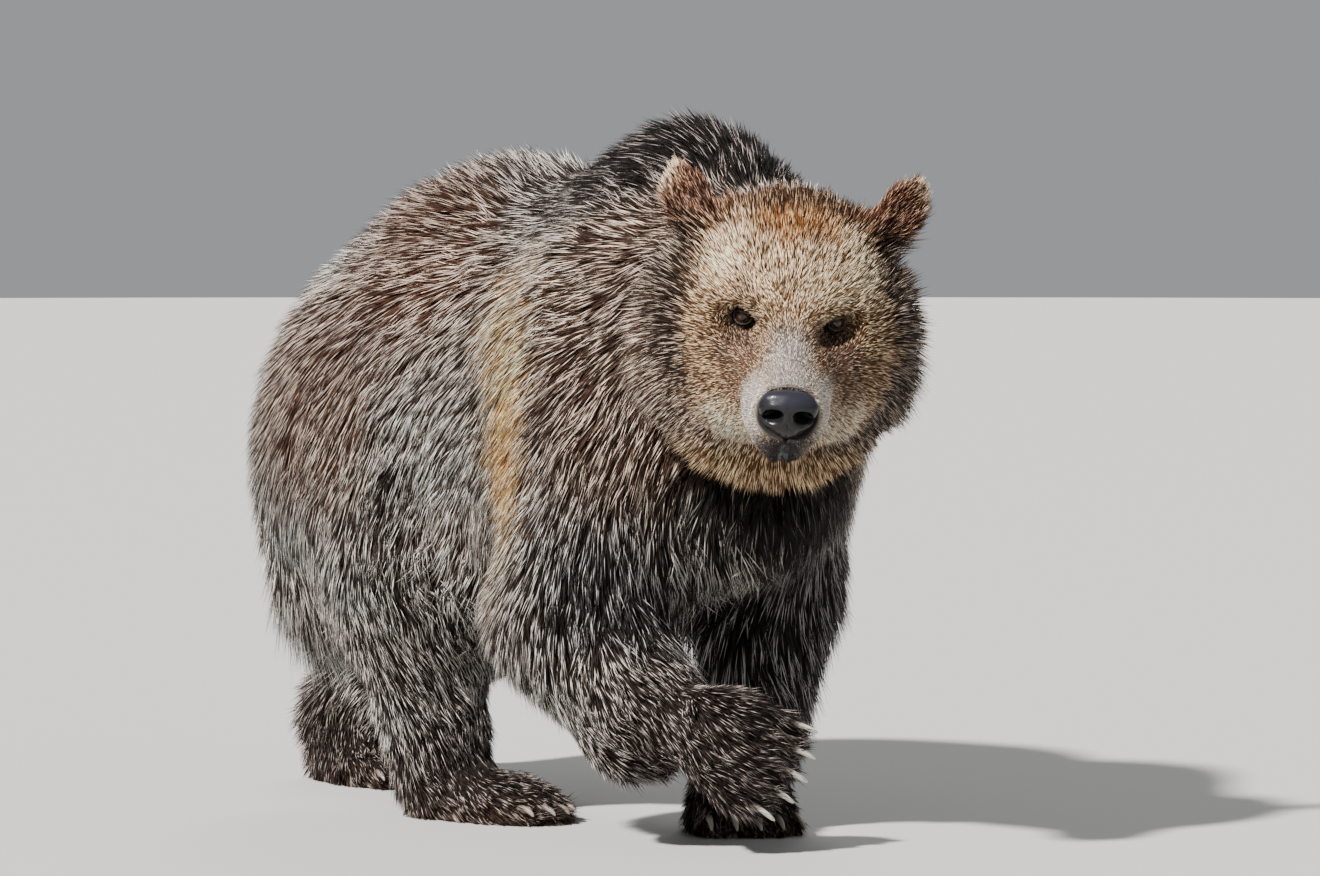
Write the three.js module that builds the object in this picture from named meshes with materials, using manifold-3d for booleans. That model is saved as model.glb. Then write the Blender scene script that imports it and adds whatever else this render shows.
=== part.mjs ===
// A grizzly bear, life size, stopped in mid stride. Millimetres, +Z up, the bear faces -Y
// and +X is its left. The body is one blended field of muscle masses, out to the tips of the
// coat, which is turned into facets zone by zone and parted by thin flat cuts.

import * as THREE from 'three';
import { mergeVertices } from 'three/addons/utils/BufferGeometryUtils.js';
import Module from 'manifold-3d';

const wasm = await Module();
wasm.setup();

// ---------------------------------------------------------------- driving dimensions

const DEG = Math.PI / 180;

// Space between parts that meet, and the longest edge that is merged away after cutting.
const GAP = 0.3;
const CRUMB = 0.12;

// Heights and half widths of the trunk, coat included.
const HUMP_TOP = 1128;
const LOIN_TOP = 1062;
const RUMP_TOP = 975;
const BELLY_UNDER = 262;
const CHEST_HALF_WIDTH = 250;
const BELLY_HALF_WIDTH = 335;

// Places along the body, measured back from the hump.
const BELLY_AT = 420;
const RUMP_AT = 655;
const RUMP_HALF_HEIGHT = 330;
const RUMP_HALF = [278, 255, RUMP_HALF_HEIGHT];
const CHEST_SHIFT = -45;

// The head hangs ahead of the hump and looks to the bear's right.
const HEAD_AT = [-210, -501, 860];
const HEAD_YAW = -36;
const HEAD_PITCH = 28;
const HEAD_ROLL = 4.5;
const SKULL_HALF = [144, 160, 160];
const COLLAR_AT = [-180, -435, 778];
const COLLAR_HALF = [204, 130, 212];
const MUZZLE_LENGTH = 182;
const EAR_APART = 153;
const EAR_HALF = [44, 26, 66];
const EYE_AT = [67, -118, 20];
const EYE_RADIUS = 14;
const EYE_SHOW = 5;
const NOSE_HALF = [43, 24, 33];
const NOSE_RISE = -40;
const NOSE_FRONT = -306;
const NOSTRIL_HALF = [11, 12, 8];

// The tail hangs short and close to the rump.
const TAIL_ROOT = [-5, 862, 770];
const TAIL_TIP = [-5, 940, 655];

// Where the head leaves the neck, the jaw leaves the head, and the neck and tail leave the trunk.
const HEAD_CUT = 62;
const JAW_CUT = [-140, -90];
const NECK_CUT = [-85, -235, 780];
const TAIL_CUT = [-5, 900, 720];

// Joints of the legs.
const RIGHT_SHOULDER = [-185, -70, 620];
const RIGHT_ELBOW = [-238, 5, 366];
const RIGHT_WRIST = [-225, -132, 214];
const LEFT_SHOULDER = [85, -60, 640];
const LEFT_ELBOW = [115, -25, 400];
const LEFT_WRIST = [88, 8, 120];
const RIGHT_HIP = [-165, 660, 620];
const RIGHT_KNEE = [-220, 490, 410];
const RIGHT_ANKLE = [-190, 455, 110];
const LEFT_HIP = [150, 700, 620];
const LEFT_KNEE = [165, 740, 390];
const LEFT_ANKLE = [35, 1045, 120];

// Feet: heading in degrees from straight ahead (positive to the left) and sizes.
const FRONT_FOOT = { half: [84, 92, 58], toes: 5, toeLength: 46, claw: 50, clawThick: 6.4 };
const HIND_FOOT = { half: [70, 138, 56], toes: 5, toeLength: 34, claw: 32, clawThick: 5.4 };
const LEFT_FORE = { at: [72, 0, 0], heading: -22, pitch: 0, roll: 0 };
const RIGHT_FORE = { at: [-152, -250, 174], heading: 50, pitch: 26, roll: -75 };
const RIGHT_HIND = { at: [-165, 372, 0], heading: 22, pitch: 0, roll: 0 };
const LEFT_HIND = { at: [18, 985, 0], heading: 2, pitch: 0, roll: 0 };

// Where the legs are parted: height between the legs, and the planes between left and right.
const UNDER = 236;
const FRONT_PARTING = -52;
const HIND_PARTING = -12;

// Cell size and number of facets that each region of the flesh is shaped with.
const SHAPING = {
  trunk: [22, 1640],
  neck: [16, 620],
  tail: [9, 170],
  upperLeg: [15, 600],
  lowerLeg: [12, 390],
  raisedFoot: [7, 350],
  foot: [8, 350],
  head: [10, 1340],
  ear: [6.5, 262],
  nose: [4, 230],
  noseSocket: [6, 190],
};

// ---------------------------------------------------------------- small helpers

const vec = (a) => new THREE.Vector3(a[0], a[1], a[2]);

/** A frame at a place, turned by heading, then nodded and rolled. */
function frameAt(place, heading = 0, pitch = 0, roll = 0) {
  const turn = new THREE.Euler(pitch * DEG, roll * DEG, heading * DEG, 'ZXY');
  const frame = new THREE.Matrix4().makeRotationFromEuler(turn);
  return frame.setPosition(vec(place));
}

const footFrame = (foot) => frameAt(foot.at, foot.heading, foot.pitch, foot.roll);
const WORLD = new THREE.Matrix4();
const HEAD = frameAt(HEAD_AT, HEAD_YAW, HEAD_PITCH, HEAD_ROLL);

// ---------------------------------------------------------------- muscle masses

/** An oval mass: centre, half sizes and turn (degrees) in a frame; blend is how far it melts. */
function oval(frame, centre, half, turn = [0, 0, 0], blend = 60) {
  const local = new THREE.Matrix4().makeRotationFromEuler(
    new THREE.Euler(turn[0] * DEG, turn[1] * DEG, turn[2] * DEG, 'ZXY'),
  );
  local.setPosition(vec(centre));
  const e = new THREE.Matrix4().multiplyMatrices(frame, local).invert().elements.slice();
  const [a, b, c] = half;
  const middle = vec(centre).applyMatrix4(frame);
  const distance = (x, y, z) => {
    const u = (e[0] * x + e[4] * y + e[8] * z + e[12]) / a;
    const v = (e[1] * x + e[5] * y + e[9] * z + e[13]) / b;
    const w = (e[2] * x + e[6] * y + e[10] * z + e[14]) / c;
    const k0 = Math.sqrt(u * u + v * v + w * w);
    const k1 = Math.sqrt((u * u) / (a * a) + (v * v) / (b * b) + (w * w) / (c * c));
    return k1 < 1e-9 ? -Math.min(a, b, c) : (k0 * (k0 - 1)) / k1;
  };
  return { distance, blend, middle, reach: Math.max(a, b, c) };
}

/** A tapering limb between two places; wide stretches its section along the side direction. */
function limb(frame, from, to, startRadius, endRadius, wide = 1, side = [1, 0, 0], blend = 60) {
  const a = vec(from).applyMatrix4(frame);
  const b = vec(to).applyMatrix4(frame);
  const along = b.clone().sub(a);
  const length = along.length();
  along.normalize();
  const across = vec(side).transformDirection(frame);
  across.addScaledVector(along, -across.dot(along)).normalize();
  const shrink = 1 / wide;
  const scale = Math.min(1, wide);
  const distance = (x, y, z) => {
    const px = x - a.x;
    const py = y - a.y;
    const pz = z - a.z;
    const s = px * along.x + py * along.y + pz * along.z;
    const t = Math.min(Math.max(s / length, 0), 1);
    const w = px * across.x + py * across.y + pz * across.z;
    const rest = Math.max(px * px + py * py + pz * pz - s * s - w * w, 0);
    const beyond = s - t * length;
    const d = Math.sqrt(rest + w * w * shrink * shrink + beyond * beyond);
    return (d - startRadius - (endRadius - startRadius) * t) * scale;
  };
  const middle = a.clone().add(b).multiplyScalar(0.5);
  const reach = length / 2 + Math.max(startRadius, endRadius) * Math.max(1, wide);
  return { distance, blend, middle, reach };
}

/** The trunk, its hump, the shoulders and haunches, and the neck up to the head. */
function trunkMasses() {
  const loinHalf = (LOIN_TOP - BELLY_UNDER) / 2;
  return [
    oval(WORLD, [CHEST_SHIFT, 60, 690], [CHEST_HALF_WIDTH, 340, 330], [0, 0, 0], 90),
    oval(WORLD, [-15, BELLY_AT, BELLY_UNDER + loinHalf], [BELLY_HALF_WIDTH, 400, loinHalf], [0, 0, 0], 120),
    oval(WORLD, [0, RUMP_AT, RUMP_TOP - RUMP_HALF_HEIGHT], RUMP_HALF, [0, 0, 0], 120),
    oval(WORLD, [-15, 10, HUMP_TOP - 205], [120, 200, 205], [-10, 0, 0], 110),
    oval(WORLD, [-210, -20, 700], [105, 190, 260], [14, 0, 0], 110),
    oval(WORLD, [85, -30, 700], [100, 180, 250], [14, 0, 0], 110),
    oval(WORLD, [-185, 640, 580], [140, 230, 270], [10, 0, 0], 110),
    oval(WORLD, [150, 680, 580], [140, 220, 270], [-6, 0, 0], 110),
    oval(WORLD, [-175, 780, 470], [105, 130, 215], [6, 0, 0], 90),
    oval(WORLD, [110, 860, 440], [110, 140, 200], [10, 0, 0], 90),
    oval(WORLD, [-50, -200, 610], [150, 150, 190], [0, 0, 0], 110),
    limb(WORLD, [-30, -60, 850], [-165, -400, 820], 190, 165, 0.95, [1, 0, 0], 120),
    oval(frameAt(COLLAR_AT, HEAD_YAW), [0, 0, 0], COLLAR_HALF, [12, 0, 0], 60),
    limb(WORLD, TAIL_ROOT, TAIL_TIP, 44, 30, 0.9, [1, 0, 0], 40),
  ];
}

/** Forehead, cheeks, muzzle, lips and jaw, in the head's own frame. */
function headMasses() {
  const [w, l, h] = SKULL_HALF;
  return [
    oval(HEAD, [0, 0, 0], [w, l, h], [0, 0, 0], 70),
    oval(HEAD, [0, -80, 54], [106, 72, 84], [-12, 0, 0], 60),
    oval(HEAD, [-84, -40, -55], [84, 115, 108], [0, 0, -8], 60),
    oval(HEAD, [84, -40, -55], [84, 115, 108], [0, 0, 8], 60),
    oval(HEAD, [-55, -70, -120], [62, 95, 66], [0, 0, -6], 60),
    oval(HEAD, [55, -70, -120], [62, 95, 66], [0, 0, 6], 60),
    limb(HEAD, [0, -110, -30], [0, -110 - MUZZLE_LENGTH * 0.8, -52], 78, 50, 1.05, [1, 0, 0], 50),
    oval(HEAD, [0, -110 - MUZZLE_LENGTH * 0.72, -70], [63, 62, 48], [0, 0, 0], 30),
    limb(HEAD, [0, -60, -112], [0, -222, -108], 80, 38, 1.0, [1, 0, 0], 40),
  ];
}

/** One ear: a rounded upright leaf, hollowed in front. */
function earMasses(side) {
  const [w, t, h] = EAR_HALF;
  return [
    oval(HEAD, [side * EAR_APART, 25, 124], [w, t, h], [0, side * 24, side * 18], 22),
  ];
}

/** Pads, instep and toes of one foot, in the foot's own frame. */
function footMasses(frame, spec) {
  const [w, l, h] = spec.half;
  const masses = [
    oval(frame, [0, 0, h * 0.6], [w, l, h], [0, 0, 0], 40),
    oval(frame, [0, -l * 0.35, h * 0.45], [w * 1.02, l * 0.6, h * 0.75], [0, 0, 0], 30),
  ];
  for (let i = 0; i < spec.toes; i += 1) {
    const t = toePlace(spec, i);
    masses.push(oval(frame, t.centre, [w / 4.6, spec.toeLength, h * 0.42], [8, 0, t.fan], 14));
  }
  return masses;
}

/** Centre, fan angle and claw root of toe number i, counted across the foot. */
function toePlace(spec, i) {
  const [w, l, h] = spec.half;
  const share = (2 * i) / (spec.toes - 1) - 1;
  const front = -l * 0.92 + Math.abs(share) ** 2 * l * 0.2;
  return {
    centre: [share * w * 0.8, front, h * 0.42],
    fan: share * 8,
    root: [share * w * 0.83, front - spec.toeLength * 0.62, h * 0.42],
  };
}

/** Upper leg, lower leg and the joint between them, for all four legs, with the feet. */
function legMasses() {
  return [
    limb(WORLD, RIGHT_SHOULDER, RIGHT_ELBOW, 150, 128, 1, [1, 0, 0], 90),
    limb(WORLD, RIGHT_ELBOW, RIGHT_WRIST, 130, 108, 1, [1, 0, 0], 60),
    limb(WORLD, LEFT_SHOULDER, LEFT_ELBOW, 140, 112, 1, [1, 0, 0], 90),
    limb(WORLD, LEFT_ELBOW, LEFT_WRIST, 110, 82, 1, [1, 0, 0], 60),
    limb(WORLD, RIGHT_HIP, RIGHT_KNEE, 190, 145, 0.8, [1, 0, 0], 110),
    limb(WORLD, RIGHT_KNEE, RIGHT_ANKLE, 138, 92, 0.9, [1, 0, 0], 70),
    limb(WORLD, LEFT_HIP, LEFT_KNEE, 190, 145, 0.8, [1, 0, 0], 110),
    limb(WORLD, LEFT_KNEE, LEFT_ANKLE, 138, 92, 0.9, [1, 0, 0], 70),
    ...[LEFT_FORE, RIGHT_FORE].flatMap((f) => footMasses(footFrame(f), FRONT_FOOT)),
    ...[RIGHT_HIND, LEFT_HIND].flatMap((f) => footMasses(footFrame(f), HIND_FOOT)),
  ];
}

// ---------------------------------------------------------------- field

const smoothMin = (a, b, k) => {
  const h = Math.max(k - Math.abs(a - b), 0) / k;
  return Math.min(a, b) - h * h * k * 0.25;
};

/** Union of the masses near a box, less the hollows, as one function of place. */
function fieldNear(masses, hollows, low, high) {
  const box = new THREE.Box3(vec(low), vec(high));
  const near = masses.filter((m) => box.distanceToPoint(m.middle) < m.reach + 2 * m.blend + 20);
  const carved = hollows.filter((m) => box.distanceToPoint(m.middle) < m.reach + 2 * m.blend + 20);
  return (x, y, z) => {
    let d = 1e6;
    for (const m of near) {
      d = smoothMin(d, m.distance(x, y, z), m.blend);
    }
    for (const m of carved) {
      d = -smoothMin(-d, m.distance(x, y, z), m.blend);
    }
    return d;
  };
}

/** Facets of the field inside a box, by surface nets on cells of one size. */
function polygonise(field, low, high, cell) {
  const n = [0, 1, 2].map((k) => Math.ceil((high[k] - low[k]) / cell) + 1);
  const [nx, ny, nz] = n;
  const value = new Float32Array(nx * ny * nz);
  const at = (i, j, k) => i + nx * (j + ny * k);
  for (let k = 0; k < nz; k += 1) {
    for (let j = 0; j < ny; j += 1) {
      for (let i = 0; i < nx; i += 1) {
        const edge = i === 0 || j === 0 || k === 0 || i === nx - 1 || j === ny - 1 || k === nz - 1;
        const d = field(low[0] + i * cell, low[1] + j * cell, low[2] + k * cell);
        value[at(i, j, k)] = edge ? Math.max(d, cell * 0.3) : d || 1e-6;
      }
    }
  }
  const points = [];
  const cellPoint = new Int32Array(nx * ny * nz).fill(-1);
  const corners = [0, 1, 2, 3, 4, 5, 6, 7].map((c) => [c & 1, (c >> 1) & 1, c >> 2]);
  const edges = [];
  corners.forEach((_, a) => [1, 2, 4].forEach((bit) => (a & bit ? null : edges.push([a, a | bit]))));
  for (let k = 0; k < nz - 1; k += 1) {
    for (let j = 0; j < ny - 1; j += 1) {
      for (let i = 0; i < nx - 1; i += 1) {
        const v = corners.map((c) => value[at(i + c[0], j + c[1], k + c[2])]);
        const inside = v.filter((x) => x < 0).length;
        if (inside === 0 || inside === 8) {
          continue;
        }
        const sum = [0, 0, 0];
        let count = 0;
        for (const [a, b] of edges) {
          if (v[a] < 0 !== v[b] < 0) {
            const t = v[a] / (v[a] - v[b]);
            for (let m = 0; m < 3; m += 1) {
              sum[m] += corners[a][m] + (corners[b][m] - corners[a][m]) * t;
            }
            count += 1;
          }
        }
        cellPoint[at(i, j, k)] = points.length / 3;
        points.push(
          low[0] + (i + sum[0] / count) * cell,
          low[1] + (j + sum[1] / count) * cell,
          low[2] + (k + sum[2] / count) * cell,
        );
      }
    }
  }
  const triangles = [];
  const step = [1, nx, nx * ny];
  for (let k = 0; k < nz - 1; k += 1) {
    for (let j = 0; j < ny - 1; j += 1) {
      for (let i = 0; i < nx - 1; i += 1) {
        const here = at(i, j, k);
        const place = [i, j, k];
        for (let axis = 0; axis < 3; axis += 1) {
          const rim = place[(axis + 1) % 3] === 0 || place[(axis + 2) % 3] === 0;
          const first = value[here] < 0;
          if (rim || first === value[here + step[axis]] < 0) {
            continue;
          }
          const u = step[(axis + 1) % 3];
          const w = step[(axis + 2) % 3];
          const q = [here - u - w, here - w, here, here - u].map((c) => cellPoint[c]);
          const ring = first ? q : q.reverse();
          triangles.push(ring[0], ring[1], ring[2], ring[0], ring[2], ring[3]);
        }
      }
    }
  }
  return { points: Float64Array.from(points), triangles: Uint32Array.from(triangles) };
}

// ---------------------------------------------------------------- fewer facets

/** A heap of edges, cheapest first. */
class EdgeHeap {
  constructor() {
    this.items = [];
  }

  push(item) {
    const list = this.items;
    list.push(item);
    let i = list.length - 1;
    while (i > 0) {
      const up = (i - 1) >> 1;
      if (list[up].cost <= list[i].cost) {
        break;
      }
      [list[up], list[i]] = [list[i], list[up]];
      i = up;
    }
  }

  pop() {
    const list = this.items;
    const top = list[0];
    const last = list.pop();
    if (list.length > 0) {
      list[0] = last;
      let i = 0;
      for (;;) {
        let low = i;
        for (const c of [2 * i + 1, 2 * i + 2]) {
          if (c < list.length && list[c].cost < list[low].cost) {
            low = c;
          }
        }
        if (low === i) {
          break;
        }
        [list[low], list[i]] = [list[i], list[low]];
        i = low;
      }
    }
    return top;
  }
}

const faceNormal = (p, a, b, c) => {
  const ux = p[b][0] - p[a][0];
  const uy = p[b][1] - p[a][1];
  const uz = p[b][2] - p[a][2];
  const vx = p[c][0] - p[a][0];
  const vy = p[c][1] - p[a][1];
  const vz = p[c][2] - p[a][2];
  return [uy * vz - uz * vy, uz * vx - ux * vz, ux * vy - uy * vx];
};

/** Plane error of a point against the summed planes q. */
const planeError = (q, [x, y, z]) =>
  q[0] * x * x + 2 * q[1] * x * y + 2 * q[2] * x * z + 2 * q[3] * x + q[4] * y * y +
  2 * q[5] * y * z + 2 * q[6] * y + q[7] * z * z + 2 * q[8] * z + q[9];

/** The point where the summed planes q meet best, or null where they are too flat. */
function planeMeet(q) {
  const [a, b, c, d, e, f, g, h, i] = q;
  const det = a * (e * h - f * f) - b * (b * h - f * c) + c * (b * f - e * c);
  const size = (a + e + h) / 3;
  if (Math.abs(det) < 1e-4 * size * size * size) {
    return null;
  }
  return [
    (-d * (e * h - f * f) + b * (g * h - f * i) - c * (g * f - e * i)) / det,
    (-a * (g * h - i * f) + d * (b * h - f * c) - c * (b * i - g * c)) / det,
    (-a * (e * i - f * g) + b * (b * i - g * c) - d * (b * f - e * c)) / det,
  ];
}

/** Collapses the cheapest edges, of those under the longest, down to the wanted facets. */
function simplify({ points, triangles }, wanted, longest = Infinity) {
  const p = [];
  for (let i = 0; i < points.length; i += 3) {
    p.push([points[i], points[i + 1], points[i + 2]]);
  }
  const faces = [];
  const around = p.map(() => new Set());
  const quadric = p.map(() => new Float64Array(10));
  for (let i = 0; i < triangles.length; i += 3) {
    const face = [triangles[i], triangles[i + 1], triangles[i + 2]];
    const raw = faceNormal(p, ...face);
    const size = Math.hypot(...raw) || 1e-12;
    const [x, y, z] = raw.map((r) => r / size);
    const d = -(x * p[face[0]][0] + y * p[face[0]][1] + z * p[face[0]][2]);
    const plane = [x * x, x * y, x * z, x * d, y * y, y * z, y * d, z * z, z * d, d * d];
    face.forEach((v) => {
      around[v].add(faces.length);
      plane.forEach((value, k) => {
        quadric[v][k] += value * size;
      });
    });
    faces.push(face);
  }
  const stamp = new Uint32Array(p.length);
  const heap = new EdgeHeap();
  const offer = (a, b) => {
    const q = quadric[a].map((value, k) => value + quadric[b][k]);
    const middle = p[a].map((value, k) => (value + p[b][k]) / 2);
    const span = Math.hypot(p[a][0] - p[b][0], p[a][1] - p[b][1], p[a][2] - p[b][2]);
    if (span > longest) {
      return;
    }
    let place = planeMeet(q);
    if (!place || Math.hypot(...place.map((value, k) => value - middle[k])) > span) {
      place = [p[a], p[b], middle].reduce((x, y) => (planeError(q, x) <= planeError(q, y) ? x : y));
    }
    const cost = planeError(q, place) + span * span * span * 1e-4;
    heap.push({ cost, a, b, place, age: stamp[a] + stamp[b] });
  };
  const neighbours = (v) => {
    const set = new Set();
    around[v].forEach((f) => faces[f].forEach((w) => set.add(w)));
    set.delete(v);
    return set;
  };
  p.forEach((_, a) => neighbours(a).forEach((b) => (a < b ? offer(a, b) : null)));
  let count = faces.length;
  const alive = p.map(() => true);
  const flips = (v, other, place) => {
    for (const f of around[v]) {
      if (faces[f].includes(other)) {
        continue;
      }
      const before = faceNormal(p, ...faces[f]);
      const kept = p[v];
      p[v] = place;
      const after = faceNormal(p, ...faces[f]);
      p[v] = kept;
      const dot = before[0] * after[0] + before[1] * after[1] + before[2] * after[2];
      if (dot < 0.3 * Math.hypot(...before) * Math.hypot(...after) || Math.hypot(...after) < 1e-3) {
        return true;
      }
    }
    return false;
  };
  while (count > wanted && heap.items.length > 0) {
    const { a, b, place, age } = heap.pop();
    if (!alive[a] || !alive[b] || age !== stamp[a] + stamp[b]) {
      continue;
    }
    const ofA = neighbours(a);
    const shared = [...neighbours(b)].filter((v) => ofA.has(v));
    const both = [...around[a]].filter((f) => around[b].has(f));
    if (shared.length !== 2 || both.length !== 2 || flips(a, b, place) || flips(b, a, place)) {
      continue;
    }
    both.forEach((f) => {
      faces[f].forEach((v) => around[v].delete(f));
      faces[f] = null;
    });
    around[b].forEach((f) => {
      faces[f] = faces[f].map((v) => (v === b ? a : v));
      around[a].add(f);
    });
    around[b].clear();
    alive[b] = false;
    p[a] = place;
    quadric[a] = quadric[a].map((value, k) => value + quadric[b][k]);
    count -= 2;
    stamp[a] += 1;
    neighbours(a).forEach((v) => offer(a, v));
  }
  const index = new Int32Array(p.length).fill(-1);
  const keptPoints = [];
  const keptTriangles = [];
  faces.filter((f) => f).forEach((f) => f.forEach((v) => {
    if (index[v] < 0) {
      index[v] = keptPoints.length / 3;
      keptPoints.push(...p[v]);
    }
    keptTriangles.push(index[v]);
  }));
  return { points: Float64Array.from(keptPoints), triangles: Uint32Array.from(keptTriangles) };
}

// ---------------------------------------------------------------- solids

/** A closed mesh as a solid that can be joined and cut. */
function toSolid({ points, triangles }) {
  const mesh = new wasm.Mesh({
    numProp: 3,
    vertProperties: Float32Array.from(points),
    triVerts: Uint32Array.from(triangles),
  });
  return new wasm.Manifold(mesh);
}

/** A three.js geometry, doubles merged, as a solid. */
function geometrySolid(geometry, frame = WORLD) {
  const bare = geometry.clone();
  bare.deleteAttribute('normal');
  bare.deleteAttribute('uv');
  const merged = mergeVertices(bare.applyMatrix4(frame), 1e-4);
  return toSolid({ points: merged.attributes.position.array, triangles: merged.index.array });
}

/** A box from its low and high corners in a frame. */
function block(frame, low, high) {
  const size = high.map((value, k) => value - low[k]);
  const geometry = new THREE.BoxGeometry(...size);
  geometry.translate(...high.map((value, k) => (value + low[k]) / 2));
  return geometrySolid(geometry, frame);
}

/** A side-to-side outline, given as [x, z] corners, drawn out from one y to another. */
function prism(outline, fromY, toY) {
  const shape = new THREE.Shape(outline.map(([x, z]) => new THREE.Vector2(x, z)));
  const geometry = new THREE.ExtrudeGeometry(shape, { depth: toY - fromY, bevelEnabled: false });
  geometry.rotateX(Math.PI / 2);
  geometry.translate(0, toY, 0);
  return geometrySolid(geometry);
}

/** A cutter scaled about its middle so that every face moves out by at least the gap. */
function grown(solid) {
  const box = solid.boundingBox();
  const middle = [0, 1, 2].map((k) => (box.min[k] + box.max[k]) / 2);
  const least = Math.min(...[0, 1, 2].map((k) => box.max[k] - box.min[k]));
  const factor = 1 + (2.4 * GAP) / least;
  return solid.translate(middle.map((value) => -value)).scale(factor).translate(middle);
}

/** What is left of a solid after other solids, each grown by the gap, are cut out of it. */
const without = (solid, ...cutters) => cutters.reduce((rest, c) => rest.subtract(grown(c)), solid);

/** The largest connected piece of a solid. */
const largest = (solid) =>
  solid.decompose().reduce((best, piece) => (piece.volume() > best.volume() ? piece : best));

/** A frame at a joint whose Z axis halves the bend between the bones above and below it. */
function jointFrame(above, joint, below) {
  const up = vec(above).sub(vec(joint)).normalize().add(vec(joint).sub(vec(below)).normalize());
  const z = up.normalize();
  const x = new THREE.Vector3(1, 0, 0).addScaledVector(z, -z.x).normalize();
  const y = new THREE.Vector3().crossVectors(z, x);
  return new THREE.Matrix4().makeBasis(x, y, z).setPosition(vec(joint));
}

/** The solid that a field bounds inside a room, given its cell size and facets. */
const fieldSolid = (field, room, [cell, facets]) =>
  toSolid(simplify(polygonise(field, ...room, cell), facets));

/** Facets of all the flesh inside a box, then as few facets as wanted, as a solid. */
function fleshIn(low, high, cell, facets) {
  return fieldSolid(fieldNear(FLESH, HOLLOWS, low, high), [low, high], [cell, facets]);
}

/** Low and high corners of a solid, let out on every side. */
function roomAround(solid, margin) {
  const box = solid.boundingBox();
  return [box.min.map((value) => value - margin), box.max.map((value) => value + margin)];
}

// ---------------------------------------------------------------- zones of the legs

/** The cutters of one leg: all of it, what is below its elbow or knee, and its foot. */
function legZones() {
  const side = (inner, outer, shoulder, crotch, fromY, toY) =>
    prism([[outer, shoulder], [inner, crotch], [inner, UNDER], [outer, UNDER]], fromY, toY);
  return [
    {
      names: ['upper_arm_right', 'forearm_right', 'front_foot_right'],
      foot: block(jointFrame(RIGHT_ELBOW, RIGHT_WRIST, RIGHT_FORE.at), [-150, -190, -330], [190, 190, 0]),
      lower: block(jointFrame(RIGHT_SHOULDER, RIGHT_ELBOW, RIGHT_WRIST), [-190, -350, -420], [185, 190, 0]),
      leg: side(FRONT_PARTING - 0.5, -460, 650, 415, -280, 178),
      spec: FRONT_FOOT,
      place: RIGHT_FORE,
      claw: 'front_claw_right_',
      shaping: SHAPING.raisedFoot,
    },
    {
      names: ['upper_arm_left', 'forearm_left', 'front_foot_left'],
      foot: block(frameAt([88, 0, 105]), [-136, -170, -140], [150, 170, 0]),
      lower: block(jointFrame(LEFT_SHOULDER, LEFT_ELBOW, LEFT_WRIST), [-165, -180, -450], [190, 190, 0]),
      leg: side(FRONT_PARTING + 0.5, 380, 620, 415, -260, 165),
      spec: FRONT_FOOT,
      place: LEFT_FORE,
      claw: 'front_claw_left_',
      shaping: SHAPING.foot,
    },
    {
      names: ['thigh_right', 'shank_right', 'hind_foot_right'],
      foot: block(frameAt([-165, 372, 108]), [-160, -250, -140], [160, 200, 0]),
      lower: block(frameAt([-215, 480, 400], 0, -12), [-260, -220, -450], [200, 320, 0]),
      leg: side(HIND_PARTING - 0.5, -480, 730, 400, 300, 1010),
      spec: HIND_FOOT,
      place: RIGHT_HIND,
      claw: 'hind_claw_right_',
      shaping: SHAPING.foot,
    },
    {
      names: ['thigh_left', 'shank_left', 'hind_foot_left'],
      foot: block(frameAt([20, 985, 108]), [-160, -250, -140], [160, 240, 0]),
      lower: block(frameAt([150, 770, 372], 0, 12), [-161, -240, -480], [260, 400, 0])
        .add(block(frameAt([0, 900, 0]), [-110, -200, -30], [200, 300, UNDER - 8])),
      leg: side(HIND_PARTING + 0.5, 460, 730, 400, 380, 1180),
      spec: HIND_FOOT,
      place: LEFT_HIND,
      claw: 'hind_claw_left_',
      shaping: SHAPING.foot,
    },
  ];
}

/** One claw: a tapering oval section carried along an arc that bends down from the toe. */
function clawSolid(frame, spec, i, spare = 0) {
  const t = toePlace(spec, i);
  const rings = 4;
  const sides = 5;
  const buried = 12 + spare;
  const bend = 72 * DEG;
  const step = (spec.claw + buried) / rings;
  const points = [];
  let y = t.root[1] + buried;
  let z = t.root[2] + 4;
  const turn = new THREE.Matrix4().makeRotationZ(t.fan * DEG);
  const local = new THREE.Matrix4().makeTranslation(t.root[0], t.root[1], 0).multiply(turn);
  const place = new THREE.Matrix4().multiplyMatrices(frame, local);
  y -= t.root[1];
  for (let r = 0; r < rings; r += 1) {
    const share = r / rings;
    const slope = -8 * DEG + bend * share;
    const radius = spec.clawThick * (1 - 0.72 * share ** 1.4) + spare;
    for (let k = 0; k < sides; k += 1) {
      const a = (2 * Math.PI * k) / sides;
      const across = Math.cos(a) * radius * 0.8;
      const rise = Math.sin(a) * radius * 1.15;
      const along = y - rise * Math.sin(slope);
      points.push(new THREE.Vector3(across, along, z + rise * Math.cos(slope)));
    }
    y -= Math.cos(slope) * step;
    z -= Math.sin(slope) * step;
  }
  points.push(new THREE.Vector3(0, y, z));
  const tip = points.length - 1;
  const triangles = [];
  for (let r = 0; r < rings - 1; r += 1) {
    for (let k = 0; k < sides; k += 1) {
      const a = r * sides + k;
      const b = r * sides + ((k + 1) % sides);
      triangles.push(a, b, a + sides, b, b + sides, a + sides);
    }
  }
  for (let k = 0; k < sides; k += 1) {
    const a = (rings - 1) * sides + k;
    triangles.push(a, (rings - 1) * sides + ((k + 1) % sides), tip);
  }
  for (let k = 1; k < sides - 1; k += 1) {
    triangles.push(0, k + 1, k);
  }
  points.forEach((point) => point.applyMatrix4(place));
  return toSolid({ points: points.flatMap((point) => point.toArray()), triangles });
}

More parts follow.
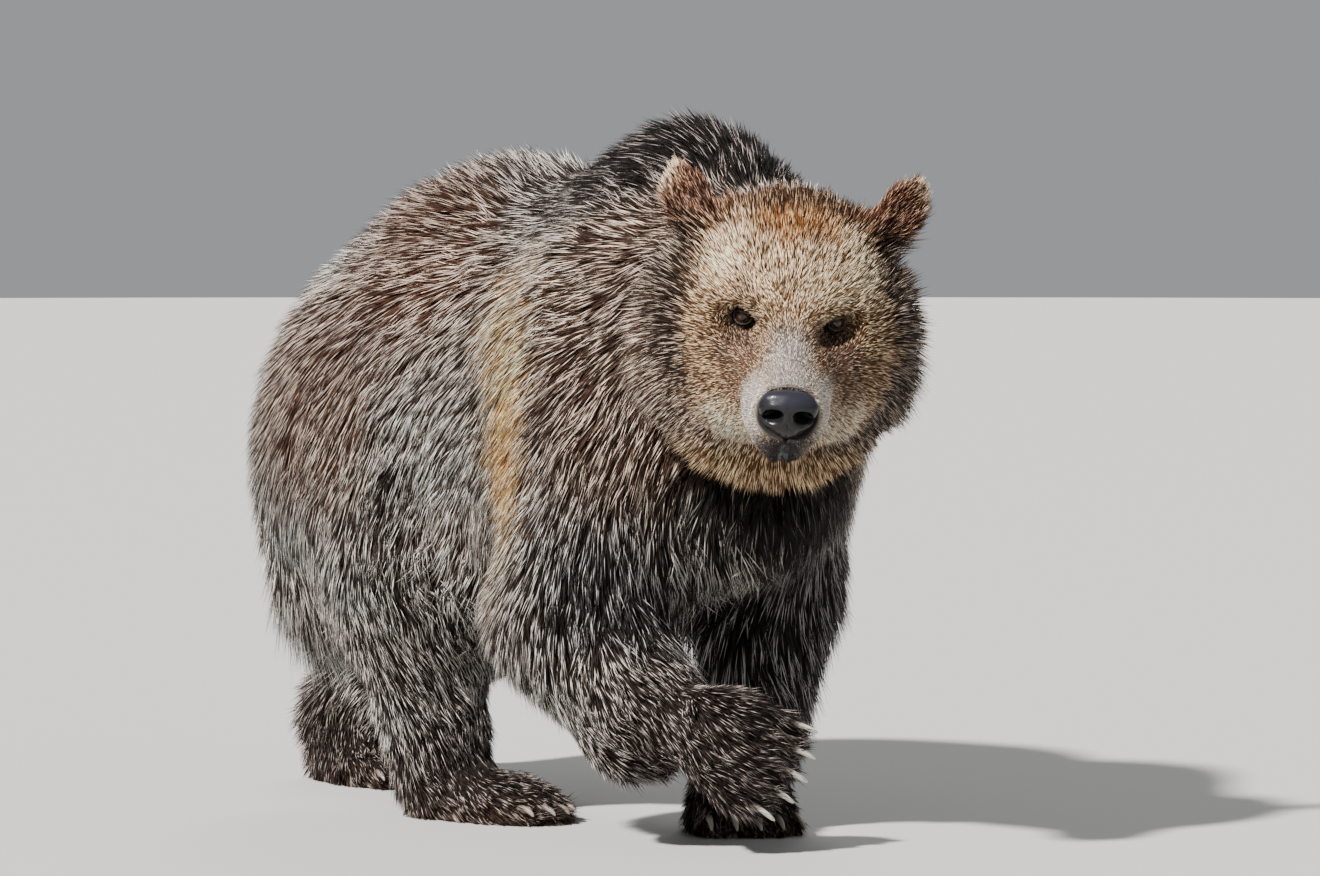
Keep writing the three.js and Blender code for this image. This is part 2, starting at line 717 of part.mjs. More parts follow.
/** Upper leg, lower leg, foot and claws of one leg. */
function buildLeg(zone) {
  const frame = footFrame(zone.place);
  const ground = block(WORLD, [-900, -900, -200], [900, 1500, 0]);
  const upper = fleshIn(...roomAround(zone.leg, 20), ...SHAPING.upperLeg);
  const top = largest(without(upper.intersect(zone.leg), zone.lower, zone.foot));
  addNode(zone.names[0], top, COLOURS.leg);
  const lower = fleshIn(...roomAround(zone.lower, 20), ...SHAPING.lowerLeg);
  addNode(zone.names[1], largest(without(lower.intersect(zone.lower), zone.foot)), COLOURS.leg);
  const claws = Array.from({ length: zone.spec.toes }, (_, i) => clawSolid(frame, zone.spec, i));
  const sockets = claws.map((_, i) => clawSolid(frame, zone.spec, i, 2 * GAP));
  const foot = fleshIn(...roomAround(zone.foot, 16), ...zone.shaping).intersect(zone.foot).subtract(ground);
  const socketed = largest(foot.subtract(sockets.reduce((all, socket) => all.add(socket))));
  addNode(zone.names[2], socketed, COLOURS.leg);
  claws.forEach((claw, i) => addNode(`${zone.claw}${i + 1}`, claw, COLOURS.claw, 0.45));
}

// ---------------------------------------------------------------- face

/** The pad of the nose. */
function noseMasses() {
  const front = NOSE_FRONT + NOSE_HALF[1];
  return [
    oval(HEAD, [0, front, NOSE_RISE], NOSE_HALF, [0, 0, 0], 12),
    oval(HEAD, [0, front + 2, NOSE_RISE - 18], [26, 20, 24], [0, 0, 0], 16),
  ];
}

/** A nostril, opening forward and outward. */
function nostril(side) {
  return oval(HEAD, [side * 20, NOSE_FRONT + 4, NOSE_RISE - 2], NOSTRIL_HALF, [0, side * 24, side * 20], 8);
}

/** The hollow that an eye lies in and the dip between the brow and the muzzle. */
function eyeHollows(side) {
  const [x, y, z] = EYE_AT;
  return [oval(HEAD, [side * (x - 4), y - 34, z - 2], [30, 26, 20], [0, side * -14, side * 24], 30)];
}

/** The cutter that parts an ear from the head. */
function earZone(side) {
  const frame = frameAt([side * EAR_APART, 25, 124], side * 18, 0, side * 24);
  return block(new THREE.Matrix4().multiplyMatrices(HEAD, frame), [-62, -60, -34], [62, 60, 100]);
}

/** The hollow front of an ear. */
function earHollow(side) {
  const [w, t, h] = EAR_HALF;
  return oval(HEAD, [side * (EAR_APART + 6), 25 - t * 1.05, 132], [w * 0.62, t * 0.8, h * 0.72],
    [0, side * 24, side * 18], 14);
}

/** Where the flesh begins, going back into the head at x, z from well ahead of it. */
function faceDepth(x, z) {
  const field = fieldNear(FLESH, HOLLOWS, ...roomAround(headZone, 0));
  const point = new THREE.Vector3();
  let y = -360;
  while (y < 0 && field(...point.set(x, y, z).applyMatrix4(HEAD).toArray()) > 0) {
    y += 0.5;
  }
  return y;
}

/** A ball for an eye, of which EYE_SHOW stands out of the floor of its hollow. */
function eyeSolid(side) {
  const [x, , z] = EYE_AT;
  const geometry = new THREE.IcosahedronGeometry(EYE_RADIUS, 1);
  const y = faceDepth(side * x, z) + EYE_RADIUS - EYE_SHOW;
  const place = new THREE.Matrix4().makeTranslation(side * x, y, z);
  return geometrySolid(geometry, new THREE.Matrix4().multiplyMatrices(HEAD, place));
}

/** Head, jaw, ears, eyes and nose. */
function buildHead() {
  const room = roomAround(headZone, 20);
  const eyes = [-1, 1].map((side) => eyeSolid(side));
  const noseBox = [[-80, NOSE_FRONT - 20, NOSE_RISE - 70], [80, NOSE_FRONT + 70, NOSE_RISE + 60]];
  const noseRoom = roomAround(block(HEAD, ...noseBox), 0);
  const noseField = fieldNear(NOSE_MASSES, NOSTRILS, ...noseRoom);
  const nose = fieldSolid(noseField, noseRoom, SHAPING.nose);
  const padField = fieldNear(NOSE_MASSES, [], ...noseRoom);
  const socketField = (x, y, z) => padField(x, y, z) - 7 * GAP;
  const socket = fieldSolid(socketField, noseRoom, SHAPING.noseSocket);
  const jawZone = block(HEAD, [-68, -330, -260], [68, JAW_CUT[0], JAW_CUT[1]]);
  const flesh = fleshIn(...room, ...SHAPING.head).intersect(headZone);
  const head = without(flesh.subtract(socket), jawZone, ...eyes, ...earZones);
  addNode('head', largest(head), COLOURS.face);
  addNode('lower_jaw', largest(flesh.intersect(jawZone).subtract(socket)), COLOURS.face);
  ['right', 'left'].forEach((name, k) => {
    const ear = fleshIn(...roomAround(earZones[k], 14), ...SHAPING.ear).intersect(earZones[k]);
    addNode(`ear_${name}`, largest(ear), COLOURS.ear);
    addNode(`eye_${name}`, eyes[k], COLOURS.eye, 0.1);
  });
  addNode('nose', largest(nose), COLOURS.nose, 0.35);
}

// ---------------------------------------------------------------- flesh

const NOSE_MASSES = noseMasses();
const NOSTRILS = [-1, 1].map((side) => nostril(side));
const FLESH = [
  ...trunkMasses(),
  ...legMasses(),
  ...headMasses(),
  ...[-1, 1].flatMap((side) => earMasses(side)),
];
const HOLLOWS = [...[-1, 1].flatMap((side) => eyeHollows(side)), ...[-1, 1].map((side) => earHollow(side))];

const zones = legZones();
const neckZone = block(frameAt(NECK_CUT, -21, -25), [-330, -520, -270], [330, 0, 330]);
const headZone = block(HEAD, [-236, -420, -300], [236, HEAD_CUT, 300]);
const earZones = [-1, 1].map((side) => earZone(side));
const tailZone = block(frameAt(TAIL_CUT, 0, -35), [-70, 0, -150], [70, 120, 90]);

const group = new THREE.Group();
group.name = 'grizzly_bear';

const COLOURS = {
  coat: 0x5b4c3e,
  face: 0x9c7d5a,
  leg: 0x3f352e,
  ear: 0x6b4a33,
  claw: 0xcfc4ae,
  nose: 0x1c1c22,
  eye: 0x24150d,
};

/** Adds one named mesh, without the crumbs of edges that cutting leaves, to the group. */
function addNode(name, solid, colour, roughness = 0.9) {
  const { vertProperties, triVerts } = solid.getMesh();
  const { points, triangles } = simplify({ points: vertProperties, triangles: triVerts }, 0, CRUMB);
  const geometry = new THREE.BufferGeometry();
  geometry.setAttribute('position', new THREE.BufferAttribute(Float32Array.from(points), 3));
  geometry.setIndex(new THREE.BufferAttribute(triangles, 1));
  geometry.computeVertexNormals();
  const material = new THREE.MeshStandardMaterial({ color: colour, roughness, metalness: 0 });
  const node = new THREE.Mesh(geometry, material);
  node.name = name;
  group.add(node);
}

function buildTrunk() {
  const low = [-520, -480, 150];
  const high = [520, 1080, 1200];
  const whole = fleshIn(low, high, ...SHAPING.trunk);
  const legs = zones.flatMap((zone) => [zone.leg, zone.lower, zone.foot]);
  addNode('trunk', largest(without(whole, neckZone, headZone, tailZone, ...legs)), COLOURS.coat);
  const nape = fleshIn(...roomAround(neckZone, 20), ...SHAPING.neck);
  addNode('neck', largest(without(nape.intersect(neckZone), headZone, ...earZones)), COLOURS.coat);
  const tail = fleshIn(...roomAround(tailZone, 20), ...SHAPING.tail);
  addNode('tail', largest(tail.intersect(tailZone)), COLOURS.coat);
}

buildTrunk();
for (const zone of zones) {
  buildLeg(zone);
}
buildHead();

const bounds = new THREE.Box3().setFromObject(group);
const centre = bounds.getCenter(new THREE.Vector3());
group.position.set(-centre.x, -centre.y, -bounds.min.z);

export default group;
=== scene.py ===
"""A grizzly bear, life size, stopped in mid stride: its skin, coat, eyes, nose pad and claws."""

import logging
import math
from contextlib import contextmanager
from dataclasses import dataclass, field
from enum import Enum
from typing import Any, Iterator, Sequence

import bpy
import numpy as np
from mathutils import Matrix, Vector
from mathutils.kdtree import KDTree


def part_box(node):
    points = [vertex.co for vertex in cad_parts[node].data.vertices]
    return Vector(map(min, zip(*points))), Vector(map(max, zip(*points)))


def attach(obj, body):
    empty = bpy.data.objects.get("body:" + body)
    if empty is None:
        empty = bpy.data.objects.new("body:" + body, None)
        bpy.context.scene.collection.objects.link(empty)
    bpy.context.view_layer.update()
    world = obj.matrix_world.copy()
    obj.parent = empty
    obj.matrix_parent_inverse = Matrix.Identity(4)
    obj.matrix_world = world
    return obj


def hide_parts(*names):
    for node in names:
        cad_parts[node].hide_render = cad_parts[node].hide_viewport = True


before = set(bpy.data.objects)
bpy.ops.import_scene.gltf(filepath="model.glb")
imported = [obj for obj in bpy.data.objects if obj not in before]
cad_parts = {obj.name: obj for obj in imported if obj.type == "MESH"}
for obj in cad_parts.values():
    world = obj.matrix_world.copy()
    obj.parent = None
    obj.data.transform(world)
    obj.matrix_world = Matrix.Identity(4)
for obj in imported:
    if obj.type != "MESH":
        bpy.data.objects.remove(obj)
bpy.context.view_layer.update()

log = logging.getLogger("grizzly")

Array = np.ndarray
Colour = tuple[float, float, float]
Place = tuple[float, float, float]

BODY = "root"
TINT = "tint"
SHAFT = "shaft"
ALONG = "along"
WET = "wet"
BAKE_MAP = "OFBake"
SEED = 1809
MILLIMETRE = 0.001


# ---- numbers and fields


def unit(vectors: Array) -> Array:
    """Makes vectors one long.

    Args:
        vectors: one vector, or one in each row.

    Returns:
        The same directions at length one.
    """
    return vectors / np.maximum(np.linalg.norm(vectors, axis=-1, keepdims=True), 1e-9)


def ease(start: float, end: float, value: Array) -> Array:
    """Goes smoothly from nought at start to one at end.

    Args:
        start: where the result is nought.
        end: where the result is one, on either side of start.
        value: the numbers to ease.

    Returns:
        Shares from nought to one.
    """
    share = np.clip((value - start) / (end - start), 0.0, 1.0)
    return share * share * (3.0 - 2.0 * share)


def blend(first: Array, second: Array, share: Array) -> Array:
    """Mixes rows of two arrays.

    Args:
        first: rows, or one row, at share nought.
        second: rows, or one row, at share one.
        share: one share for each row.

    Returns:
        The mixed rows.
    """
    weight = share[:, None]
    return first * (1.0 - weight) + second * weight


def span(rows: Array) -> Array:
    """Measures the length of each row."""
    return np.linalg.norm(rows, axis=1)


def oval(places: Array, centre: Sequence[float], half: Sequence[float]) -> Array:
    """Measures places against an oval.

    Args:
        places: places, one in each row.
        centre: middle of the oval.
        half: half its size each way.

    Returns:
        Nought at the middle of the oval, one on its rim and more outside it.
    """
    return span((places - np.array(centre)) / np.array(half))


def bell(*reaches: Array) -> Array:
    """Falls off smoothly from one in the middle, over reaches given against the bell's width."""
    return np.exp(-sum(reach**2 for reach in reaches))


def lay_flat(vectors: Array, normals: Array) -> Array:
    """Turns vectors along the surface that has these normals, and makes them one long."""
    return unit(vectors - normals * np.sum(vectors * normals, axis=1)[:, None])


def folded(local: Array) -> Array:
    """Brings places on the head over to its left side."""
    return np.column_stack([np.abs(local[:, 0]), local[:, 1:]])


@dataclass(frozen=True)
class Ripple:
    """Smooth noise from crossing waves.

    Attributes:
        size: length of the waves, in metres.
        seed: which noise this is.
        waves: number of waves that cross.
    """

    size: float
    seed: int
    waves: int = 7

    def __call__(self, points: Array) -> Array:
        """Reads the noise.

        Args:
            points: places, one in each row.

        Returns:
            One number for each place, mostly between -1 and 1.
        """
        draw = np.random.default_rng(self.seed)
        total = np.zeros(len(points))
        for _ in range(self.waves):
            heading = unit(draw.normal(size=3))
            length = self.size * draw.uniform(0.6, 1.6)
            total += np.sin(points @ heading * (math.tau / length) + draw.uniform(0.0, math.tau))
        return total / math.sqrt(self.waves)


def middle(node: str) -> Array:
    """Finds the middle of a solid.

    Args:
        node: the solid's name.

    Returns:
        The middle of its box.
    """
    low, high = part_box(node)
    return (np.array(low) + np.array(high)) / 2.0


class HeadFrame:
    """The head's own directions: +X its left, +Y back into the skull, +Z up through the crown.

    Attributes:
        eye_line: the middle between the eyes, in these directions.
        nose_drop: angle from the line between the eyes and the nose to the head's own level.
        axes: the three directions, as columns.
        origin: the place that they start from.
    """

    eye_line = np.array([0.0, -0.116, 0.020])
    nose_drop = math.radians(20.95)

    def __init__(self) -> None:
        """Works the directions out from the eyes and the nose."""
        left, right = middle("eye_left"), middle("eye_right")
        across = unit(left - right)
        eyes = (left + right) / 2.0
        back = eyes - middle("nose")
        back = unit(back - across * (back @ across))
        rise = np.cross(across, back)
        sine, cosine = math.sin(self.nose_drop), math.cos(self.nose_drop)
        self.axes = np.column_stack([across, cosine * back - sine * rise, cosine * rise + sine * back])
        self.origin = eyes - self.axes @ self.eye_line

    def local(self, points: Array) -> Array:
        """Turns places of the whole bear into places on the head."""
        return (points - self.origin) @ self.axes

    def world(self, points: Array) -> Array:
        """Turns places on the head into places of the whole bear."""
        return points @ self.axes.T + self.origin

    def heading(self, direction: Sequence[float]) -> Array:
        """Turns a direction of the head into one of the whole bear."""
        return self.axes @ np.array(direction)


@dataclass(frozen=True)
class Leg:
    """One leg, from the top down.

    Attributes:
        upper: name of the solid of the upper leg.
        lower: name of that of the lower leg.
        foot: name of that of the foot.
        claws: start of the names of the claws.
        horn: colour of the claws' ends.
    """

    upper: str
    lower: str
    foot: str
    claws: str
    horn: Colour

    def claw_nodes(self) -> list[str]:
        """Names this leg's claws."""
        return [f"{self.claws}{i}" for i in range(1, 6)]

    def path(self) -> Array:
        """Follows the leg.

        Returns:
            The middles of the upper leg, lower leg, foot and claws.
        """
        claws = np.mean([middle(node) for node in self.claw_nodes()], axis=0)
        return np.array([middle(self.upper), middle(self.lower), middle(self.foot), claws])


LEGS = (
    Leg("upper_arm_right", "forearm_right", "front_foot_right", "front_claw_right_", (0.56, 0.53, 0.46)),
    Leg("upper_arm_left", "forearm_left", "front_foot_left", "front_claw_left_", (0.30, 0.27, 0.23)),
    Leg("thigh_right", "shank_right", "hind_foot_right", "hind_claw_right_", (0.20, 0.17, 0.145)),
    Leg("thigh_left", "shank_left", "hind_foot_left", "hind_claw_left_", (0.20, 0.17, 0.145)),
)
FLESH = (
    "trunk",
    "neck",
    "tail",
    "head",
    "lower_jaw",
    "ear_right",
    "ear_left",
    *(name for leg in LEGS for name in (leg.upper, leg.lower, leg.foot)),
)


# ---- the lie of the coat


@dataclass
class Strands:
    """What the coat is like at each of many places, one row or number for each.

    Attributes:
        depth: how deep the coat is.
        length: length of a tuft.
        width: width of a tuft.
        lie: direction in which a tuft lies.
        spacing: distance between tufts.
        stand: height of the ends, against the coat's depth there.
        gather: how far the ends of a lock run together, from nought to one.
    """

    depth: Array
    length: Array
    width: Array
    lie: Array
    spacing: Array
    stand: Array
    gather: Array


@dataclass(frozen=True)
class Measure:
    """One measure of the coat over the whole bear.

    Attributes:
        body: on the body.
        legs: on the upper leg, the lower leg, the foot and the claws.
        face: at each of FACE_STEPS from the tip of the nose.
        lids: around the eyes.
        ears: on the ears.
    """

    body: float
    legs: tuple[float, ...]
    face: tuple[float, ...]
    lids: float
    ears: float


FACE_STEPS = (0.0, 0.08, 0.15, 0.22, 0.30, 0.40)
DEPTH = Measure(
    0.023, (0.022, 0.020, 0.012, 0.008), (0.0025, 0.003, 0.005, 0.009, 0.016, 0.024), 0.005, 0.009
)
LENGTH = Measure(
    0.072, (0.074, 0.068, 0.044, 0.040), (0.005, 0.008, 0.013, 0.022, 0.036, 0.062), 0.009, 0.030
)
WIDTH = Measure(
    0.002, (0.0019, 0.0019, 0.0017, 0.0015), (0.0008, 0.0009, 0.001, 0.0012, 0.0015, 0.0019), 0.001, 0.0015
)
SPACING = Measure(
    0.0047, (0.0045, 0.0043, 0.0036, 0.0032), (0.0017, 0.0018, 0.002, 0.0023, 0.003, 0.0042), 0.0019, 0.0024
)
GATHER = Measure(0.42, (0.42, 0.40, 0.34, 0.25), (0.00, 0.04, 0.08, 0.14, 0.22, 0.32), 0.0, 0.35)


@dataclass(frozen=True)
class Shag:
    """An oval patch where the coat is longer, or stands higher or lower, than around it.

    Attributes:
        centre: middle of the patch.
        half: half its size each way.
        longer: length at the middle, against the coat around it.
        higher: height of the ends at the middle, against the coat around it.
    """

    centre: Place
    half: Place
    longer: float
    higher: float


SHAG = (
    Shag((-0.23, 0.55, 0.33), (0.13, 0.13, 0.12), 1.7, 1.9),
    Shag((-0.30, 0.46, 0.52), (0.13, 0.16, 0.13), 1.1, 0.55),
    Shag((-0.34, 0.34, 0.70), (0.10, 0.16, 0.16), 1.1, 0.75),
    Shag((0.02, 0.92, 0.20), (0.12, 0.14, 0.14), 1.3, 1.6),
    Shag((-0.03, -0.27, 0.33), (0.13, 0.11, 0.12), 1.9, 2.4),
    Shag((-0.27, -0.30, 0.19), (0.10, 0.12, 0.09), 0.9, 0.35),
    Shag((0.16, -0.30, 0.26), (0.08, 0.12, 0.13), 1.3, 1.7),
    Shag((-0.11, 0.25, 1.02), (0.20, 0.20, 0.09), 1.12, 1.45),
)
HEAD_SHAG = (
    Shag((0.19, -0.03, -0.04), (0.07, 0.12, 0.17), 1.6, 1.9),
    Shag((0.0, -0.10, -0.26), (0.16, 0.14, 0.07), 1.25, 1.2),
)


class Pelt:
    """Depth, length and direction of the coat, over the whole body.

    The head's places below lie on its left, and its right is alike.

    Attributes:
        eye_place: middle of an eye.
        nose_tip: tip of the nose.
        comb_from: place that the face's coat is combed away from.
        ear_middle: middle of an ear.
        ear_half: half the size of an ear each way.
        ruff_from: place that the ruff is combed away from.
        ruff_drop: how the ruff hangs, on the whole bear.
        cheek_drop: how the cheeks hang, on the whole bear.
        ear_up: how an ear's coat rises.
        ear_out: how an ear's coat leans outward.
        stray: how far the lie swirls from tuft to tuft.
        sweep: how far the lie turns in wide waves.
    """

    eye_place = np.array([0.067, -0.128, 0.020])
    nose_tip = np.array([0.0, -0.300, -0.035])
    comb_from = np.array([0.0, -0.340, -0.010])
    ear_middle = np.array([0.153, 0.025, 0.124])
    ear_half = np.array([0.066, 0.066, 0.082])
    ruff_from = np.array([0.0, -0.05, 0.02])
    ruff_drop = np.array([0.0, 0.25, -0.75])
    cheek_drop = np.array([0.0, 0.0, -0.8])
    ear_up = (0.0, 0.15, 1.0)
    ear_out = (0.5, 0.0, 0.0)
    stray = 0.26
    sweep = 0.18

    def __init__(self, head: HeadFrame) -> None:
        """Keeps the head's directions and the legs' paths.

        Args:
            head: the head's directions.
        """
        self.head = head
        self.paths = [leg.path() for leg in LEGS]
        self.swirls = [Ripple(0.045, SEED + k) for k in range(3)]
        self.waves = [Ripple(0.26, SEED + 7 + k) for k in range(3)]
        self.clump = Ripple(0.034, SEED + 20)

    def on_head(self, points: Array) -> Array:
        """Tells how far places belong to the head, from nought to one.

        Args:
            points: places, one in each row.

        Returns:
            One share for each place.
        """
        local = self.head.local(points)
        ahead = ease(0.10, 0.02, local[:, 1])
        above = ease(-0.34, -0.27, local[:, 2])
        beside = ease(0.30, 0.24, np.abs(local[:, 0]))
        return ahead * above * beside

    def on_ear(self, points: Array) -> Array:
        """Tells how far places belong to an ear, from nought to one.

        Args:
            points: places, one in each row.

        Returns:
            One share for each place.
        """
        away = (folded(self.head.local(points)) - self.ear_middle) / self.ear_half
        lean = away[:, 2] + 0.35 * away[:, 0]
        return ease(1.15, 0.9, span(away)) * ease(-0.65, -0.25, lean)

    def along_legs(self, points: Array) -> tuple[Array, Array, Array]:
        """Measures places against the legs.

        Args:
            points: places, one in each row.

        Returns:
            Shares that belong to a leg, how far down the leg (0 upper, 3 claws) and directions.
        """
        nearest = np.full(len(points), 1e9)
        down = np.zeros(len(points))
        lie = np.zeros((len(points), 3))
        total = np.full(len(points), 1e-12)
        for path in self.paths:
            for k in range(3):
                start, run = path[k], path[k + 1] - path[k]
                share = np.clip((points - start) @ run / (run @ run), 0.0, 1.0)
                gap = span(points - start - share[:, None] * run)
                down = np.where(gap < nearest, k + share, down)
                nearest = np.minimum(gap, nearest)
                weight = 1.0 / (gap + 0.01) ** 5
                lie += unit(run) * weight[:, None]
                total += weight
        member = ease(0.60, 0.42, points[:, 2]) * ease(0.30, 0.20, nearest)
        return member, down, unit(lie / total[:, None])

    def at(self, points: Array, normals: Array) -> Strands:
        """Reads the coat.

        Args:
            points: places on the skin, one in each row.
            normals: directions out of the skin there.

        Returns:
            The coat at each place.
        """
        local = self.head.local(points)
        on_head = self.on_head(points)
        on_ear = self.on_ear(points)
        on_leg, down, _ = self.along_legs(points)
        reach = span(local - self.nose_tip)
        local = folded(local)
        near_eye = on_head * ease(0.055, 0.022, span(local - self.eye_place))

        def spread(measure: Measure) -> Array:
            """Reads one measure at every place.

            Args:
                measure: the measure.

            Returns:
                One number for each place.
            """
            value = np.full(len(points), measure.body)
            value += (np.interp(down, range(4), measure.legs) - value) * on_leg
            value += (np.interp(reach, FACE_STEPS, measure.face) - value) * on_head
            value += (measure.lids - value) * near_eye
            return value + (measure.ears - value) * on_ear

        length = spread(LENGTH)
        stand = np.ones(len(points))
        for patches, places in ((SHAG, points), (HEAD_SHAG, local)):
            for patch in patches:
                share = ease(1.3, 0.5, oval(places, patch.centre, patch.half))
                length *= 1.0 + (patch.longer - 1.0) * share
                stand *= 1.0 + (patch.higher - 1.0) * share
        lie = self.lie(points, normals)
        return Strands(spread(DEPTH), length, spread(WIDTH), lie, spread(SPACING), stand, spread(GATHER))

    def lie(self, points: Array, normals: Array) -> Array:
        """Combs the coat.

        Args:
            points: places on the skin, one in each row.
            normals: directions out of the skin there.

        Returns:
            The direction along the skin in which the coat lies at each place.
        """
        local = self.head.local(points)
        on_head = self.on_head(points)
        on_leg, _, leg_lie = self.along_legs(points)
        low = ease(1.03, 0.70, points[:, 2])
        rearward = np.column_stack([np.zeros_like(low), 1.0 - 0.72 * low, -0.15 - 0.95 * low])
        from_head = unit(points - self.head.world(self.ruff_from))
        ruff = unit(0.8 * from_head + self.ruff_drop)
        lie = blend(unit(rearward), ruff, ease(0.52, 0.30, span(local)))
        lie = blend(lie, leg_lie, on_leg)
        sag = ease(0.10, 0.20, np.abs(local[:, 0])) * ease(0.10, -0.08, local[:, 2])
        face = unit(local - self.comb_from) @ self.head.axes.T + self.cheek_drop * sag[:, None]
        lie = blend(lie, unit(face), on_head)
        side = np.sign(local[:, 0])
        up_ear = self.head.heading(self.ear_up) + side[:, None] * self.head.heading(self.ear_out)
        lie = blend(lie, unit(up_ear), self.on_ear(points))
        stray = np.column_stack([noise(points) for noise in self.swirls])
        sweep = np.column_stack([noise(points) for noise in self.waves])
        calm = 1.0 - 0.6 * on_head
        return lay_flat(lie + (self.stray * stray + self.sweep * sweep) * calm[:, None], normals)


# ---- markings


@dataclass(frozen=True)
class Hair:
    """Colours of one kind of hair.

    Attributes:
        root: colour at the skin.
        shaft: colour halfway.
        tip: colour at the end.
        silver: share of the tufts whose ends are pale.
    """

    root: Colour
    shaft: Colour
    tip: Colour
    silver: float

    def row(self) -> Array:
        """Gives the ten numbers in one row."""
        return np.array([*self.root, *self.shaft, *self.tip, self.silver])


@dataclass(frozen=True)
class Marking:
    """An oval patch of another hair.

    Attributes:
        hair: the hair inside.
        centre: middle of the patch.
        centre: middle of the patch.
        half: half its size each way.
        strength: share of the change at the middle.
        soft: how gradually it ends, as a share of its size.
    """

    hair: Hair
    centre: Place
    half: Place
    strength: float = 1.0
    soft: float = 0.5


SILVER_BACK = Hair((0.006, 0.004, 0.003), (0.044, 0.029, 0.022), (1.000, 0.890, 0.800), 0.53)
PALE_BELLY = Hair((0.010, 0.006, 0.005), (0.085, 0.056, 0.042), (1.000, 0.900, 0.820), 0.72)
SILVER_LOIN = Hair((0.006, 0.004, 0.003), (0.034, 0.024, 0.019), (0.820, 0.750, 0.700), 0.42)
BROWN_LOIN = Hair((0.005, 0.003, 0.002), (0.040, 0.019, 0.012), (0.480, 0.355, 0.290), 0.32)
DARK_LEG = Hair((0.003, 0.002, 0.002), (0.014, 0.011, 0.010), (0.600, 0.560, 0.560), 0.32)
BLACK_HUMP = Hair((0.003, 0.002, 0.002), (0.008, 0.006, 0.005), (0.400, 0.340, 0.320), 0.17)
RUSSET = Hair((0.008, 0.004, 0.002), (0.066, 0.026, 0.013), (0.820, 0.640, 0.530), 0.44)
GOLD_BAND = Hair((0.045, 0.019, 0.006), (0.330, 0.136, 0.034), (1.000, 0.670, 0.310), 0.88)
# Dark-shafted hair for the fold in front of the right thigh: painted shade in the crease.
FOLD_SHADE = Hair((0.003, 0.002, 0.002), (0.014, 0.010, 0.008), (0.880, 0.800, 0.760), 0.38)
SHOULDER = Hair((0.004, 0.003, 0.003), (0.032, 0.022, 0.018), (0.960, 0.860, 0.790), 0.50)
RUFF = Hair((0.007, 0.004, 0.003), (0.050, 0.025, 0.016), (0.880, 0.690, 0.550), 0.42)
# Dark ruff hair, also used as painted shade on the face's far rim and in the dark ring around the face.
DARK_RUFF_AND_SHADE = Hair((0.003, 0.002, 0.001), (0.016, 0.009, 0.006), (0.460, 0.360, 0.290), 0.26)
THROAT = Hair((0.012, 0.005, 0.002), (0.115, 0.051, 0.018), (0.960, 0.700, 0.410), 0.50)
LEG = Hair((0.004, 0.003, 0.002), (0.024, 0.017, 0.014), (0.950, 0.860, 0.800), 0.42)
# Near-black hair for the far foreleg: partly its own dark colour, partly painted shade.
BLACK_LEG_AND_SHADE = Hair((0.002, 0.002, 0.002), (0.008, 0.007, 0.007), (0.380, 0.370, 0.380), 0.26)
FOOT = Hair((0.004, 0.003, 0.002), (0.020, 0.014, 0.012), (0.520, 0.440, 0.400), 0.28)
RUSTY_EDGE = Hair((0.006, 0.003, 0.002), (0.046, 0.024, 0.016), (0.360, 0.260, 0.210), 0.28)
FACE = Hair((0.018, 0.009, 0.004), (0.098, 0.051, 0.023), (0.780, 0.570, 0.370), 0.48)
FOREHEAD = Hair((0.030, 0.016, 0.008), (0.205, 0.118, 0.060), (1.000, 0.800, 0.570), 0.74)
PALE_CHEEK = Hair((0.030, 0.018, 0.010), (0.280, 0.180, 0.102), (1.000, 0.890, 0.700), 0.88)
# Near-black hair for the chest between the forelegs: a painted shadow under the head and neck.
CHEST_SHADOW = Hair((0.001, 0.001, 0.001), (0.006, 0.005, 0.004), (0.120, 0.105, 0.095), 0.13)
RUST_BROW = Hair((0.020, 0.008, 0.002), (0.170, 0.064, 0.020), (0.660, 0.420, 0.220), 0.42)
CROWN = Hair((0.007, 0.003, 0.002), (0.040, 0.017, 0.008), (0.460, 0.300, 0.190), 0.32)
BRIDGE = Hair((0.060, 0.048, 0.042), (0.200, 0.170, 0.150), (0.780, 0.720, 0.680), 0.55)
MUZZLE = Hair((0.100, 0.078, 0.062), (0.400, 0.340, 0.290), (1.000, 0.920, 0.840), 0.66)
CHIN = Hair((0.060, 0.042, 0.026), (0.290, 0.210, 0.140), (0.860, 0.730, 0.570), 0.60)
MUZZLE_SIDE = Hair((0.020, 0.010, 0.006), (0.130, 0.068, 0.038), (0.660, 0.480, 0.350), 0.40)
UPPER_LIP = Hair((0.016, 0.012, 0.011), (0.070, 0.053, 0.046), (0.400, 0.340, 0.310), 0.42)
LIP = Hair((0.006, 0.005, 0.005), (0.014, 0.011, 0.011), (0.060, 0.050, 0.048), 0.20)
EYE_RIM = Hair((0.008, 0.005, 0.004), (0.026, 0.016, 0.012), (0.150, 0.108, 0.088), 0.28)
UNDER_EYE = Hair((0.012, 0.007, 0.005), (0.052, 0.030, 0.022), (0.440, 0.330, 0.270), 0.34)
EAR_RUST = Hair((0.006, 0.002, 0.001), (0.052, 0.019, 0.009), (0.480, 0.280, 0.180), 0.34)
EAR_FRINGE = Hair((0.030, 0.017, 0.009), (0.240, 0.150, 0.090), (1.000, 0.860, 0.680), 0.80)
# Near-black hair for an ear's hollow: painted shade inside the ear.
EAR_HOLLOW_SHADE = Hair((0.003, 0.002, 0.002), (0.018, 0.009, 0.006), (0.240, 0.140, 0.095), 0.26)

